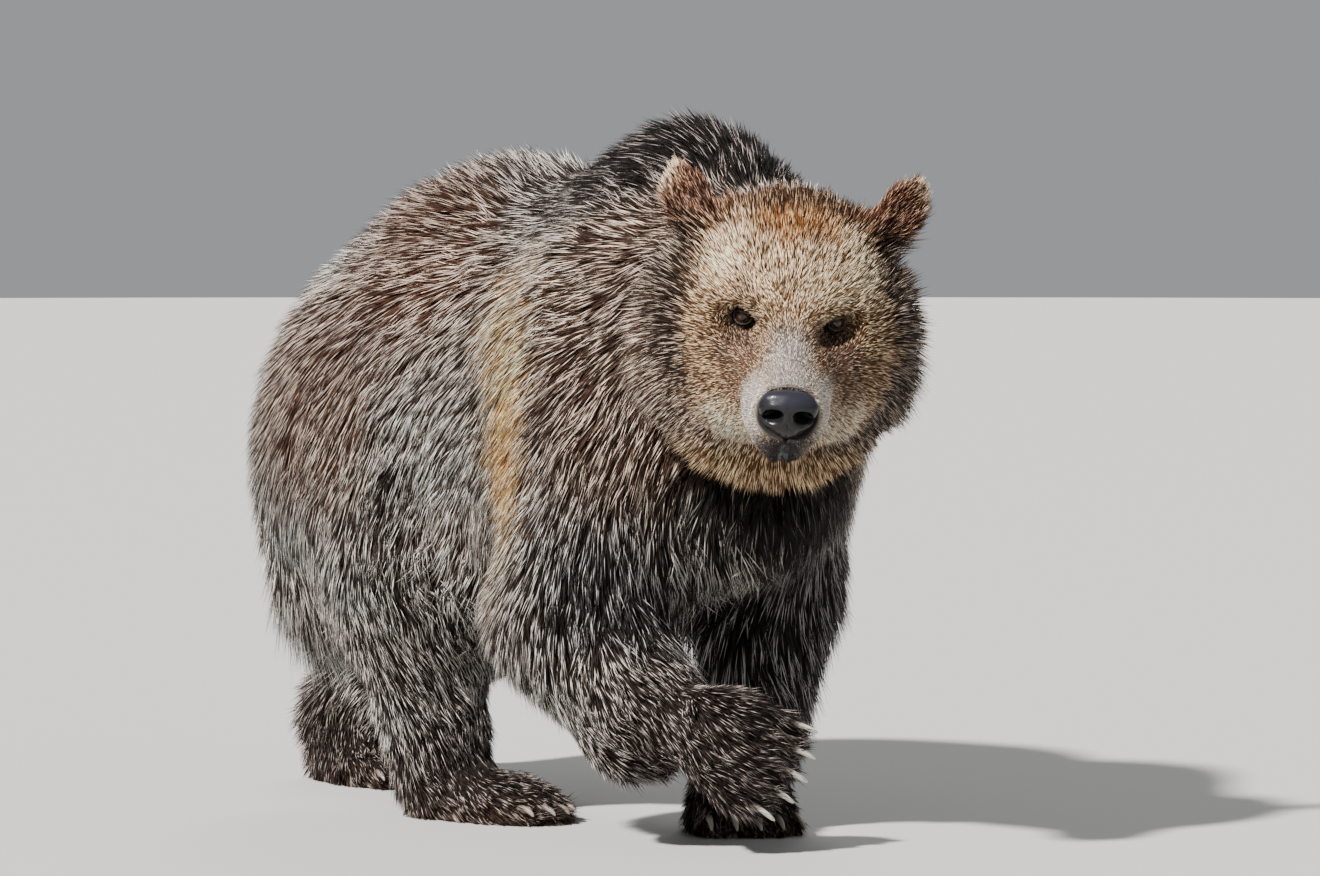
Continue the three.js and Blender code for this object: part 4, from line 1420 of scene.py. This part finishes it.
    def lid_axes(self, side: float) -> tuple[Array, Array, Array]:
        """Gives an eye's directions.

        Args:
            side: 1 for the left eye, -1 for the right.

        Returns:
            Outward to its corner, up, and the way it looks.
        """
        gaze = unit(np.array(self.gaze) * [side, 1.0, 1.0])
        outward = unit(np.cross(gaze, [0.0, 0.0, 1.0])) * -side
        up = np.cross(outward, gaze) * side
        if up[2] < 0.0:
            up = -up
        return outward, up, gaze

    def shape_lids(self, local: Array, side: float) -> Array:
        """Lays the lids over one eye and opens them.

        Args:
            local: places of the skin in the head's directions.
            side: 1 for the left eye, -1 for the right.

        Returns:
            The shaped places.
        """
        outward, up, gaze = self.lid_axes(side)
        away = local - self.eye_place(side)
        u, v, w = away @ outward, away @ up, away @ gaze
        radius = np.hypot(u, v)
        cover = self.eye_radius + self.lid
        dome = np.sqrt(np.maximum(cover**2 - radius**2, 0.0))
        dome -= 0.55 * np.maximum(radius - 0.86 * cover, 0.0)
        ball = np.sqrt(np.maximum((0.8 * self.eye_radius) ** 2 - radius**2, 0.0))
        half_wide, half_high = self.eye_half
        slant = v - 0.07 * u
        rise = np.where(slant > 0.0, slant / half_high, slant / (0.9 * half_high))
        edge = (u / half_wide) ** 2 + rise**2
        opened = ease(1.12, 0.88, edge)
        height, width, size = self.lid_fold
        fold = size * bell((slant - height) / width) * ease(0.020, 0.010, np.abs(u))
        target = (dome + fold) * (1.0 - opened) + (ball - 0.004) * opened
        hold = ease(0.032, 0.0165, radius) * (w > -0.012) * (span(away) < 0.05)
        return local + gaze * ((target - w) * hold)[:, None]

    def colour(self) -> None:
        """Colours the skin like the lower part of its coat."""
        surface = Surface(self.obj.data)
        rows = self.markings.at(surface.points)
        local = self.head.local(surface.points)
        bare = ease(0.17, 0.07, span(local - self.pelt.nose_tip))
        tone = rows[:, 0:3] * 0.6 + rows[:, 3:6] * 0.4
        tone = blend(tone, rows[:, 3:6] * 0.6, bare)
        tone = blend(tone, np.full(3, 0.004), self.under_pad(local))
        put_tint(self.obj.data, tone)
        local = folded(local)
        lips = 0.6 * ease(1.1, 0.9, oval(local, self.lips_middle, self.lips_half))
        lids = 0.7 * ease(0.022, 0.017, span(local - self.eye_place(1.0)))
        put_numbers(self.obj.data, np.maximum(lips, lids), WET)


# ---- coat


@dataclass(frozen=True)
class Layer:
    """One layer of the coat.

    Attributes:
        rise: least and greatest height of the ends, as shares of the coat's depth.
        reach: least and greatest length, as shares of the coat's own.
        girth: width as a share of the coat's own.
        bend: where a tuft is widest, as a share of its length.
        pale: how much of the marking's share of pale ends it has.
    """

    rise: tuple[float, float]
    reach: tuple[float, float]
    girth: float
    bend: float
    pale: float


UNDERCOAT = Layer((0.40, 0.95), (0.60, 0.95), 1.60, 0.50, 0.10)
GUARD_HAIR = Layer((0.92, 1.45), (0.75, 1.25), 0.74, 0.64, 1.0)


class Region(Enum):
    """The parts of the body that the coat's pieces cover."""

    HEAD = "head"
    NECK = "neck"
    SHOULDERS = "shoulders"
    FLANKS = "flanks"
    RUMP = "rump"
    FORE_LEGS = "fore_legs"
    HIND_LEGS = "hind_legs"


@dataclass
class Coat:
    """The tufts of the coat, in pieces by region.

    Attributes:
        skin: the skin that they grow from.
        head: the head's directions.
        pelt: lie of the coat.
        markings: colours of the coat.
        patch: size of a tuft's patch on the unwrap.
        most: most tufts in one piece.
        tufts: number of tufts on the whole bear, nearly.
        under: share of the tufts that belong to the undercoat.
        lock_share: share of the tufts that stand in the middle of a lock.
        lock_reach: how far a lock reaches, against the distance between tufts.
        stray: how far each tuft's direction strays.
        sag: how far the ends sink, against the length.
        seat: how deep the roots sit in the skin.
        lowest: lowest that a tuft goes over the ground.
        eye_clear: half the width and half the height of the bare place around an eye.
        blade: the four faces of a tuft, from its root, left, right and tip.
    """

    skin: Skin
    head: HeadFrame
    pelt: Pelt
    markings: Markings
    patch: float = 0.003
    most: int = 49000
    tufts: int = 366000
    under: float = 0.40
    lock_share: float = 0.12
    lock_reach: float = 1.9
    stray: float = 0.11
    sag: float = 0.08
    seat: float = 1.2 * MILLIMETRE
    lowest: float = 0.4 * MILLIMETRE
    eye_clear: tuple[float, float] = (0.0165, 0.0125)
    blade = np.array([[0, 2, 1], [2, 3, 1], [0, 1, 3], [0, 3, 2]])

    def build(self) -> None:
        """Grows the whole coat."""
        self.draw = np.random.default_rng(SEED + 99)
        points, normals, places = self.scatter()
        material = FurFinish().make()
        regions = self.regions(points)
        for number, region in enumerate(Region):
            chosen = np.flatnonzero(regions == number)
            parts = max(1, math.ceil(len(chosen) / self.most))
            chosen = chosen[np.argsort(points[chosen, 1], kind="stable")]
            for k, part in enumerate(np.array_split(chosen, parts)):
                title = f"coat_{region.value}" + (f"_{k + 1}" if parts > 1 else "")
                piece = self.grow(title, points[part], normals[part], places[part])
                finish_piece(piece, material)

    def regions(self, points: Array) -> Array:
        """Sorts places into the regions.

        Args:
            points: the roots of the tufts.

        Returns:
            The number of the region of each.
        """
        order = list(Region)
        along = points[:, 1]
        number = np.full(len(points), order.index(Region.FLANKS))
        number[along > 0.30] = order.index(Region.RUMP)
        number[along < -0.14] = order.index(Region.SHOULDERS)
        on_leg = self.pelt.along_legs(points)[0] > 0.4
        number[on_leg & (along < -0.02)] = order.index(Region.FORE_LEGS)
        number[on_leg & (along >= -0.02)] = order.index(Region.HIND_LEGS)
        number[(span(self.head.local(points)) < 0.46) & ~on_leg] = order.index(Region.NECK)
        number[self.pelt.on_head(points) > 0.5] = order.index(Region.HEAD)
        return number

    def scatter(self) -> tuple[Array, Array, Array]:
        """Spreads the roots over the skin.

        Returns:
            The roots, the way out of the skin at each, and their places on the unwrap.
        """
        mesh = self.skin.obj.data
        mesh.calc_loop_triangles()
        corners = read(mesh.loop_triangles, "vertices", 3, np.int32)
        loops = read(mesh.loop_triangles, "loops", 3, np.int32)
        unwrapped = read(mesh.uv_layers[BAKE_MAP].data, "uv", 2)
        surface = Surface(mesh)
        a, b, c = (surface.points[corners[:, k]] for k in range(3))
        facing = np.cross(b - a, c - a)
        centres = (a + b + c) / 3.0
        spacing = self.pelt.at(centres, unit(facing)).spacing
        wanted = span(facing) / 2.0 / spacing**2 * self.bare(centres)
        log.info("tufts at full density: %d", wanted.sum())
        wanted *= self.tufts / wanted.sum()
        number = np.floor(wanted + self.draw.random(len(corners))).astype(int)
        owner = np.repeat(np.arange(len(corners)), number)
        first, second = np.sqrt(self.draw.random(len(owner))), self.draw.random(len(owner))
        share = np.column_stack([1.0 - first, first * (1.0 - second), first * second])

        def spread(values: Array, members: Array) -> Array:
            """Mixes the values at the three corners of each root's triangle."""
            return np.einsum("nk,nkd->nd", share, values[members[owner]])

        out = unit(spread(surface.normals(), corners))
        return spread(surface.points, corners), out, spread(unwrapped, loops)

    def bare(self, points: Array) -> Array:
        """Tells where no tufts grow: on the eyes, the nose pad, the mouth and the soles.

        Args:
            points: places on the skin.

        Returns:
            Nought where bare and one elsewhere.
        """
        local = self.head.local(points)
        grown = np.ones(len(points))
        wide, high = self.eye_clear
        for side in (-1.0, 1.0):
            outward, up, gaze = self.skin.lid_axes(side)
            away = local - self.skin.eye_place(side)
            near = (away @ outward / wide) ** 2 + ((away @ up - 0.001) / high) ** 2 < 1.0
            grown[near & (away @ gaze > -0.03)] = 0.0
        grown[self.skin.under_pad(local) > 0.75] = 0.0
        side, y, z = np.abs(local[:, 0]), local[:, 1], local[:, 2]
        lips = (side / 0.046) ** 2 + ((z + 0.145 - 4.0 * side**2) / 0.0065) ** 2
        cleft = (side < 0.008) & (z > -0.145) & (z < -0.06)
        grown[((lips < 1.0) | cleft) & (y < -0.235)] = 0.0
        grown[points[:, 2] < 4.0 * MILLIMETRE] = 0.0
        return grown

    def grow(self, title: str, points: Array, normals: Array, places: Array) -> bpy.types.Object:
        """Grows the tufts of one piece, each a thin closed blade that bends over.

        Args:
            title: the piece's name.
            points: the roots.
            normals: the way out of the skin at each root.
            places: the roots' places on the unwrap.

        Returns:
            The piece.
        """
        count = len(points)
        strands = self.pelt.at(points, normals)
        under = self.draw.random(count) < self.under

        def either(attribute: str, part: int | None = None) -> Array:
            """Picks one measure of each tuft's own layer."""
            pair = [getattr(layer, attribute) for layer in (UNDERCOAT, GUARD_HAIR)]
            pair = pair if part is None else [value[part] for value in pair]
            return np.where(under, pair[0], pair[1])

        lie = lay_flat(strands.lie + self.stray * self.draw.normal(size=(count, 3)), normals)
        across = np.cross(normals, lie)
        clump = 0.5 + 0.5 * np.clip(self.pelt.clump(points), -1.0, 1.0)
        length = strands.length * self.draw.uniform(either("reach", 0), either("reach", 1))
        length *= 0.88 + 0.24 * clump
        centre, out = self.locks(points, strands.spacing)
        rise = strands.depth * strands.stand * self.draw.uniform(either("rise", 0), either("rise", 1))
        rise *= 1.12 - 0.34 * out
        face = ease(0.26, 0.12, span(self.head.local(points) - self.pelt.nose_tip))
        rise *= 1.0 - 0.35 * face
        width = strands.width * either("girth") * self.draw.uniform(0.75, 1.25, count)
        run = np.sqrt(np.maximum(length**2 - rise**2, (0.5 * length) ** 2))
        root = points - normals * self.seat
        tip = points + lie * run[:, None] + normals * rise[:, None]
        led = points[centre] + lie[centre] * (0.35 * run[centre] + 0.65 * run)[:, None]
        led += normals[centre] * rise[:, None] + 0.2 * (points - points[centre])
        tip = blend(tip, led, strands.gather)
        tip[:, 2] -= self.sag * length
        ridge = unit(np.cross(across, tip - root))
        ridge *= np.sign(np.sum(ridge * normals, axis=1) + 1e-9)[:, None]
        bend = root + (tip - root) * either("bend")[:, None] + ridge * (0.4 * width)[:, None]
        half = across * (width / 2.0)[:, None]
        mesh = self.blades(title, np.stack([root, bend + half, bend - half, tip], axis=1), places)
        ends, shafts = self.tones(points + lie * (0.3 * run)[:, None], either("pale"), out)
        put_tint(mesh, np.repeat(ends, 4, axis=0))
        put_tint(mesh, np.repeat(shafts, 4, axis=0), SHAFT)
        along = np.column_stack([np.zeros(count), either("bend"), either("bend"), np.ones(count)])
        put_numbers(mesh, along, ALONG)
        return add_object(title, mesh)

    def blades(self, title: str, corners: Array, places: Array) -> bpy.types.Mesh:
        """Makes the mesh of a piece.

        Args:
            title: the mesh's name.
            corners: root, left, right and tip of each tuft.
            places: the roots' places on the unwrap.

        Returns:
            The mesh, unwrapped.
        """
        corners[:, :, 2] = np.maximum(corners[:, :, 2], self.lowest)
        index = (self.blade[None] + 4 * np.arange(len(corners))[:, None, None]).ravel()
        mesh = bpy.data.meshes.new(title)
        mesh.vertices.add(len(corners) * 4)
        mesh.vertices.foreach_set("co", corners.astype(np.float32).ravel())
        mesh.loops.add(len(index))
        mesh.loops.foreach_set("vertex_index", index.astype(np.int32))
        mesh.polygons.add(len(index) // 3)
        mesh.polygons.foreach_set("loop_start", np.arange(0, len(index), 3, dtype=np.int32))
        mesh.update(calc_edges=True)
        half = self.patch / 2.0
        spread = np.array([[0.0, -half], [-half, 0.0], [half, 0.0], [0.0, half]])
        unwrapped = (places[:, None, :] + spread[None]).reshape(-1, 2)[index]
        mesh.uv_layers.new(name=BAKE_MAP).data.foreach_set("uv", unwrapped.astype(np.float32).ravel())
        return mesh

    def locks(self, points: Array, spacing: Array) -> tuple[Array, Array]:
        """Gathers roots into locks.

        Args:
            points: the roots.
            spacing: distance between tufts at each.

        Returns:
            The number of the root in the middle of each root's lock, and how far out of it each is.
        """
        middles = np.flatnonzero(self.draw.random(len(points)) < self.lock_share)
        tree = KDTree(len(middles))
        for number, place in enumerate(points[middles].tolist()):
            tree.insert(place, number)
        tree.balance()
        found = [tree.find(place)[1:] for place in points.tolist()]
        nearest, away = np.array(found).T
        return middles[nearest.astype(int)], np.clip(away / (self.lock_reach * spacing), 0.0, 1.0)

    def tones(self, places: Array, likely: Array, out: Array) -> tuple[Array, Array]:
        """Colours the tufts.

        Args:
            places: where each tuft shows most.
            likely: how much of the marking's share of pale ends its layer has.
            out: how far each tuft stands from the middle of its lock, from nought to one; further out,
                tufts are painted darker, as shade in the gaps between locks.

        Returns:
            The colours of the ends and of the shafts, one row for each tuft.
        """
        count = len(places)
        on_head = self.pelt.on_head(places)
        blur = 0.016 - 0.012 * on_head
        rows = self.markings.at(places + self.draw.normal(size=(count, 3)) * blur[:, None])
        # Tufts toward a lock's edge are darker and less often pale-ended: painted shade in the gaps between
        # locks, on top of a random spread.
        spread_and_shade = (self.draw.uniform(0.55, 1.25, count) * (1.12 - 0.32 * out))[:, None]
        pale = (self.draw.random(count) < rows[:, 9] * likely * (1.15 - 0.3 * out))[:, None]
        shaft = rows[:, 3:6] * spread_and_shade
        return np.where(pale, rows[:, 6:9] * np.minimum(spread_and_shade, 1.0), shaft * 1.2), shaft


# ---- eyes, nose and claws


@dataclass
class Eye:
    """One eye: a ball with a dark iris that looks ahead.

    Attributes:
        head: the head's directions.
        side: 1 for the left, -1 for the right.
        radius: its radius.
        iris: radius of the iris.
        pupil: radius of the pupil.
        bulge: how far the clear front stands out.
        rim: colour around the iris.
        brown: colour of the iris.
        black: colour of the pupil.
    """

    head: HeadFrame
    side: float
    radius: float = 0.0138
    iris: float = 0.0088
    pupil: float = 0.0042
    bulge: float = 0.0009
    rim: Colour = (0.016, 0.010, 0.008)
    brown: Colour = (0.034, 0.015, 0.007)
    black: Colour = (0.003, 0.003, 0.003)

    def build(self, material: bpy.types.Material) -> None:
        """Makes the eye.

        Args:
            material: its finish.
        """
        name = "left" if self.side > 0 else "right"
        deselect()
        bpy.ops.mesh.primitive_uv_sphere_add(segments=40, ring_count=28, radius=self.radius)
        ball = bpy.context.object
        ball.name = f"eyeball_{name}"
        gaze = self.head.heading(unit(np.array([0.10 * self.side, -1.0, 0.10])))
        ball.data.transform(Vector(gaze).to_track_quat("Z", "Y").to_matrix().to_4x4())
        surface = Surface(ball.data)
        ahead = surface.points @ gaze
        radius = span(surface.points - ahead[:, None] * gaze)
        front = ahead > 0.0
        bulge = self.bulge * ease(self.iris * 1.1, 0.0, radius) * front
        surface.points += gaze * bulge[:, None] + middle(f"eye_{name}")
        surface.write()
        tone = np.tile(self.rim, (len(radius), 1))
        tone = blend(tone, np.array(self.brown), ease(self.iris, 0.85 * self.iris, radius) * front)
        pupil = ease(1.2 * self.pupil, 0.9 * self.pupil, radius) * front
        put_tint(ball.data, blend(tone, np.array(self.black), pupil))
        finish_piece(ball, material, [f"eye_{name}"])


@dataclass
class NosePad:
    """The bare pad of the nose with its nostrils.

    Attributes:
        head: the head's directions.
        cell: size of the cells that it is made in.
        nostril: middle of the left nostril, across and up.
        hole: half the size of the nostril's round part.
        tail: half the size of its tail, which runs outward.
        wing: distance of the raised edge around it and its width, against the hole.
        deep: depth of the nostrils.
        dark: colour of the pad.
        crown: colour of its upper edge, a lighter bluish tone that is a painted sky reflection.
        worn: colour of the spots at its lower edge.
        black: painted shade inside the nostrils.
    """

    head: HeadFrame
    cell: float = 0.0014
    nostril: tuple[float, float] = (0.0212, -0.0405)
    hole: tuple[float, float] = (0.0145, 0.0102)
    tail: tuple[float, float] = (0.0110, 0.0042)
    wing: tuple[float, float] = (1.55, 0.35)
    deep: float = 0.019
    dark: Colour = (0.0065, 0.0060, 0.0068)
    crown: Colour = (0.013, 0.013, 0.020)
    worn: Colour = (0.034, 0.025, 0.023)
    black: Colour = (0.002, 0.002, 0.002)

    def build(self) -> None:
        """Makes the pad."""
        pad = remeshed(merged_copy(["nose"], "nose_pad", 0.0), self.cell)
        surface = Surface(pad.data)
        surface.points = surface.smooth(surface.points, 14)
        local, hollow = self.shape(self.head.local(surface.points))
        surface.points = self.head.world(local)
        surface.write()
        surface.points = surface.smooth(surface.points, 2)
        surface.write()
        height = local[:, 2]
        mottle = 0.5 + 0.5 * Ripple(0.010, SEED + 60)(local)
        tone = np.tile(self.dark, (len(local), 1))
        # Painted reflection: the upper edge is lighter and bluish, like the sky gleaming on it.
        tone = blend(tone, np.array(self.crown), ease(-0.030, -0.016, height))
        tone = blend(tone, np.array(self.worn), ease(-0.056, -0.070, height) * mottle)
        # Painted shade: the nostrils are darkened to near black by their depth.
        tone = blend(tone, np.array(self.black), hollow)
        put_tint(pad.data, np.maximum(tone, 0.001))
        finish_piece(pad, NOSE_SKIN.make(), ["nose"])

    def shape(self, local: Array) -> tuple[Array, Array]:
        """Hollows the nostrils and parts the pad below them.

        Args:
            local: places of the pad in the head's directions.

        Returns:
            The shaped places, and how deep in a nostril each is.
        """
        x, y, z = local.T
        side = np.abs(x)
        x0, z0 = self.nostril
        front = ease(-0.262, -0.285, y)
        hole = np.hypot((side - x0) / self.hole[0], (z - z0 + 0.2 * (side - x0)) / self.hole[1])
        tail_line = z0 - 0.004 - 0.25 * (side - x0)
        tail = np.hypot((side - x0 - 0.013) / self.tail[0], (z - tail_line) / self.tail[1])
        deep = np.maximum(ease(1.15, 0.45, hole), 0.75 * ease(1.1, 0.4, tail)) * front
        wing = bell((hole - self.wing[0]) / self.wing[1]) * front
        cleft = bell(side / 0.0016) * ease(-0.040, -0.052, z) * front
        narrow = 0.22 * ease(-0.050, -0.082, z)
        broad = ease(-0.045, -0.020, z), ease(-0.024, -0.008, z)
        shaped = local.copy()
        shaped[:, 0] *= 1.0 - narrow + 0.10 * broad[0] + 0.30 * broad[1]
        shaped[:, 1] += self.deep * deep - 0.0016 * wing + 0.0030 * cleft
        shaped[:, 2] -= 0.0045 * ease(-0.042, -0.074, z)
        return shaped, ease(0.25, 0.8, deep)


@dataclass
class Claws:
    """All the claws, each smoothed from its solid.

    Attributes:
        levels: how often each is subdivided.
        let_out: how far each is let out first, since smoothing thins it.
        base: colour where a claw leaves the foot.
    """

    levels: int = 2
    let_out: float = 0.0018
    base: Colour = (0.110, 0.090, 0.075)

    def build(self) -> None:
        """Makes the claws."""
        material = HORN.make()
        for leg in LEGS:
            for name in leg.claw_nodes():
                self.claw(name, leg, material)

    def claw(self, name: str, leg: Leg, material: bpy.types.Material) -> None:
        """Makes one claw.

        Args:
            name: its solid's name.
            leg: the leg that it is on.
            material: its finish.
        """
        made = merged_copy([name], f"{name}_horn", self.let_out)
        apply_modifier(made, "SUBSURF", levels=self.levels, render_levels=self.levels)
        path = leg.path()
        along = (Surface(made.data).points - path[2]) @ unit(path[3] - path[2])
        share = (along - along.min()) / max(float(np.ptp(along)), 1e-6)
        put_tint(made.data, blend(np.array(self.base), np.array(leg.horn), ease(0.30, 0.75, share)))
        finish_piece(made, material, [name])


# ---- studio


@dataclass(frozen=True)
class Lamp:
    """One distant light.

    Attributes:
        name: its name.
        azimuth: its bearing, in degrees.
        elevation: its height above the level, in degrees.
        power: its strength.
        angle: how wide it is, in degrees.
        tone: its colour.
    """

    name: str
    azimuth: float
    elevation: float
    power: float
    angle: float
    tone: Colour


LAMPS = (
    Lamp("key", -73.0, 39.0, 12.5, 3.0, (1.0, 0.965, 0.92)),
    Lamp("fill", 12.0, 28.0, 0.3, 60.0, (0.92, 0.95, 1.0)),
    Lamp("rim", 140.0, 40.0, 1.5, 20.0, (1.0, 0.98, 0.95)),
)


@dataclass
class Studio:
    """Floor, lights and camera.

    Attributes:
        look_at: the place that the camera points at.
        azimuth: the camera's bearing, in degrees.
        elevation: its height above the level, in degrees.
        distance: its distance from look_at.
        lens: its focal length, in millimetres.
        film: width of its film, in millimetres.
        floor_radius: radius of the floor.
        floor_tone: colour of the floor.
        sky_tone: colour of the sky's light.
        sky_power: strength of the sky's light.
        mirrored: widest light that shows in shiny parts, in degrees.
    """

    look_at: Place = (-0.0248, -0.173, 0.620)
    azimuth: float = -36.0
    elevation: float = 2.5
    distance: float = 9.7
    lens: float = 169.1
    film: float = 36.0
    floor_radius: float = 40.0
    floor_tone: Colour = (0.42, 0.42, 0.41)
    sky_tone: Colour = (0.88, 0.90, 0.93)
    sky_power: float = 0.38
    mirrored: float = 10.0

    def build(self) -> None:
        """Makes the floor, the camera and the lights."""
        self.floor()
        self.camera()
        for lamp in LAMPS:
            self.sun(lamp)
        world = bpy.data.worlds.new("studio")
        bpy.context.scene.world = world
        world.use_nodes = True
        sky = world.node_tree.nodes["Background"]
        sky.inputs["Color"].default_value = (*self.sky_tone, 1.0)
        sky.inputs["Strength"].default_value = self.sky_power

    def floor(self) -> None:
        """Makes a wide pale floor."""
        deselect()
        bpy.ops.mesh.primitive_circle_add(vertices=96, radius=self.floor_radius, fill_type="NGON")
        floor = bpy.context.object
        floor.name = "floor"
        paint = Paint("floor")
        paint.set(Base_Color=(*self.floor_tone, 1.0), Roughness=0.9)
        floor.data.materials.append(paint.material)

    def aim(self, obj: bpy.types.Object, azimuth: float, elevation: float) -> Vector:
        """Turns an object to face the bear from a bearing and height in degrees.

        Args:
            obj: the object, which faces along its own -Z.
            azimuth: the bearing.
            elevation: the height above the level.

        Returns:
            The direction from the bear to it.
        """
        a, e = math.radians(azimuth), math.radians(elevation)
        back = Vector((math.sin(a) * math.cos(e), -math.cos(a) * math.cos(e), math.sin(e)))
        obj.rotation_mode = "QUATERNION"
        obj.rotation_quaternion = (-back).to_track_quat("-Z", "Y")
        return back

    def camera(self) -> None:
        """Places the camera."""
        data = bpy.data.cameras.new("camera")
        data.lens = self.lens
        data.sensor_width = self.film
        data.clip_end = 5.0 * self.floor_radius
        camera = add_object("camera", data)
        back = self.aim(camera, self.azimuth, self.elevation)
        camera.location = Vector(self.look_at) + back * self.distance
        bpy.context.scene.camera = camera

    def sun(self, lamp: Lamp) -> None:
        """Places one distant light.

        Args:
            lamp: the light's place, strength and colour.
        """
        data = bpy.data.lights.new(lamp.name, "SUN")
        data.energy = lamp.power
        data.angle = math.radians(lamp.angle)
        data.color = lamp.tone
        light = add_object(lamp.name, data)
        light.visible_glossy = lamp.angle < self.mirrored
        light.location = self.aim(light, lamp.azimuth, lamp.elevation) * 8.0


def main() -> None:
    """Builds the bear and its studio."""
    logging.basicConfig(level=logging.INFO, format="%(message)s")
    head = HeadFrame()
    pelt = Pelt(head)
    markings = Markings(head, pelt)
    Studio().build()
    skin = Skin(head, pelt, markings)
    skin.build()
    Coat(skin, head, pelt, markings).build()
    wet_eye = WET_EYE.make()
    for side in (-1.0, 1.0):
        Eye(head, side).build(wet_eye)
    NosePad(head).build()
    Claws().build()


if __name__ == "__main__":
    main()
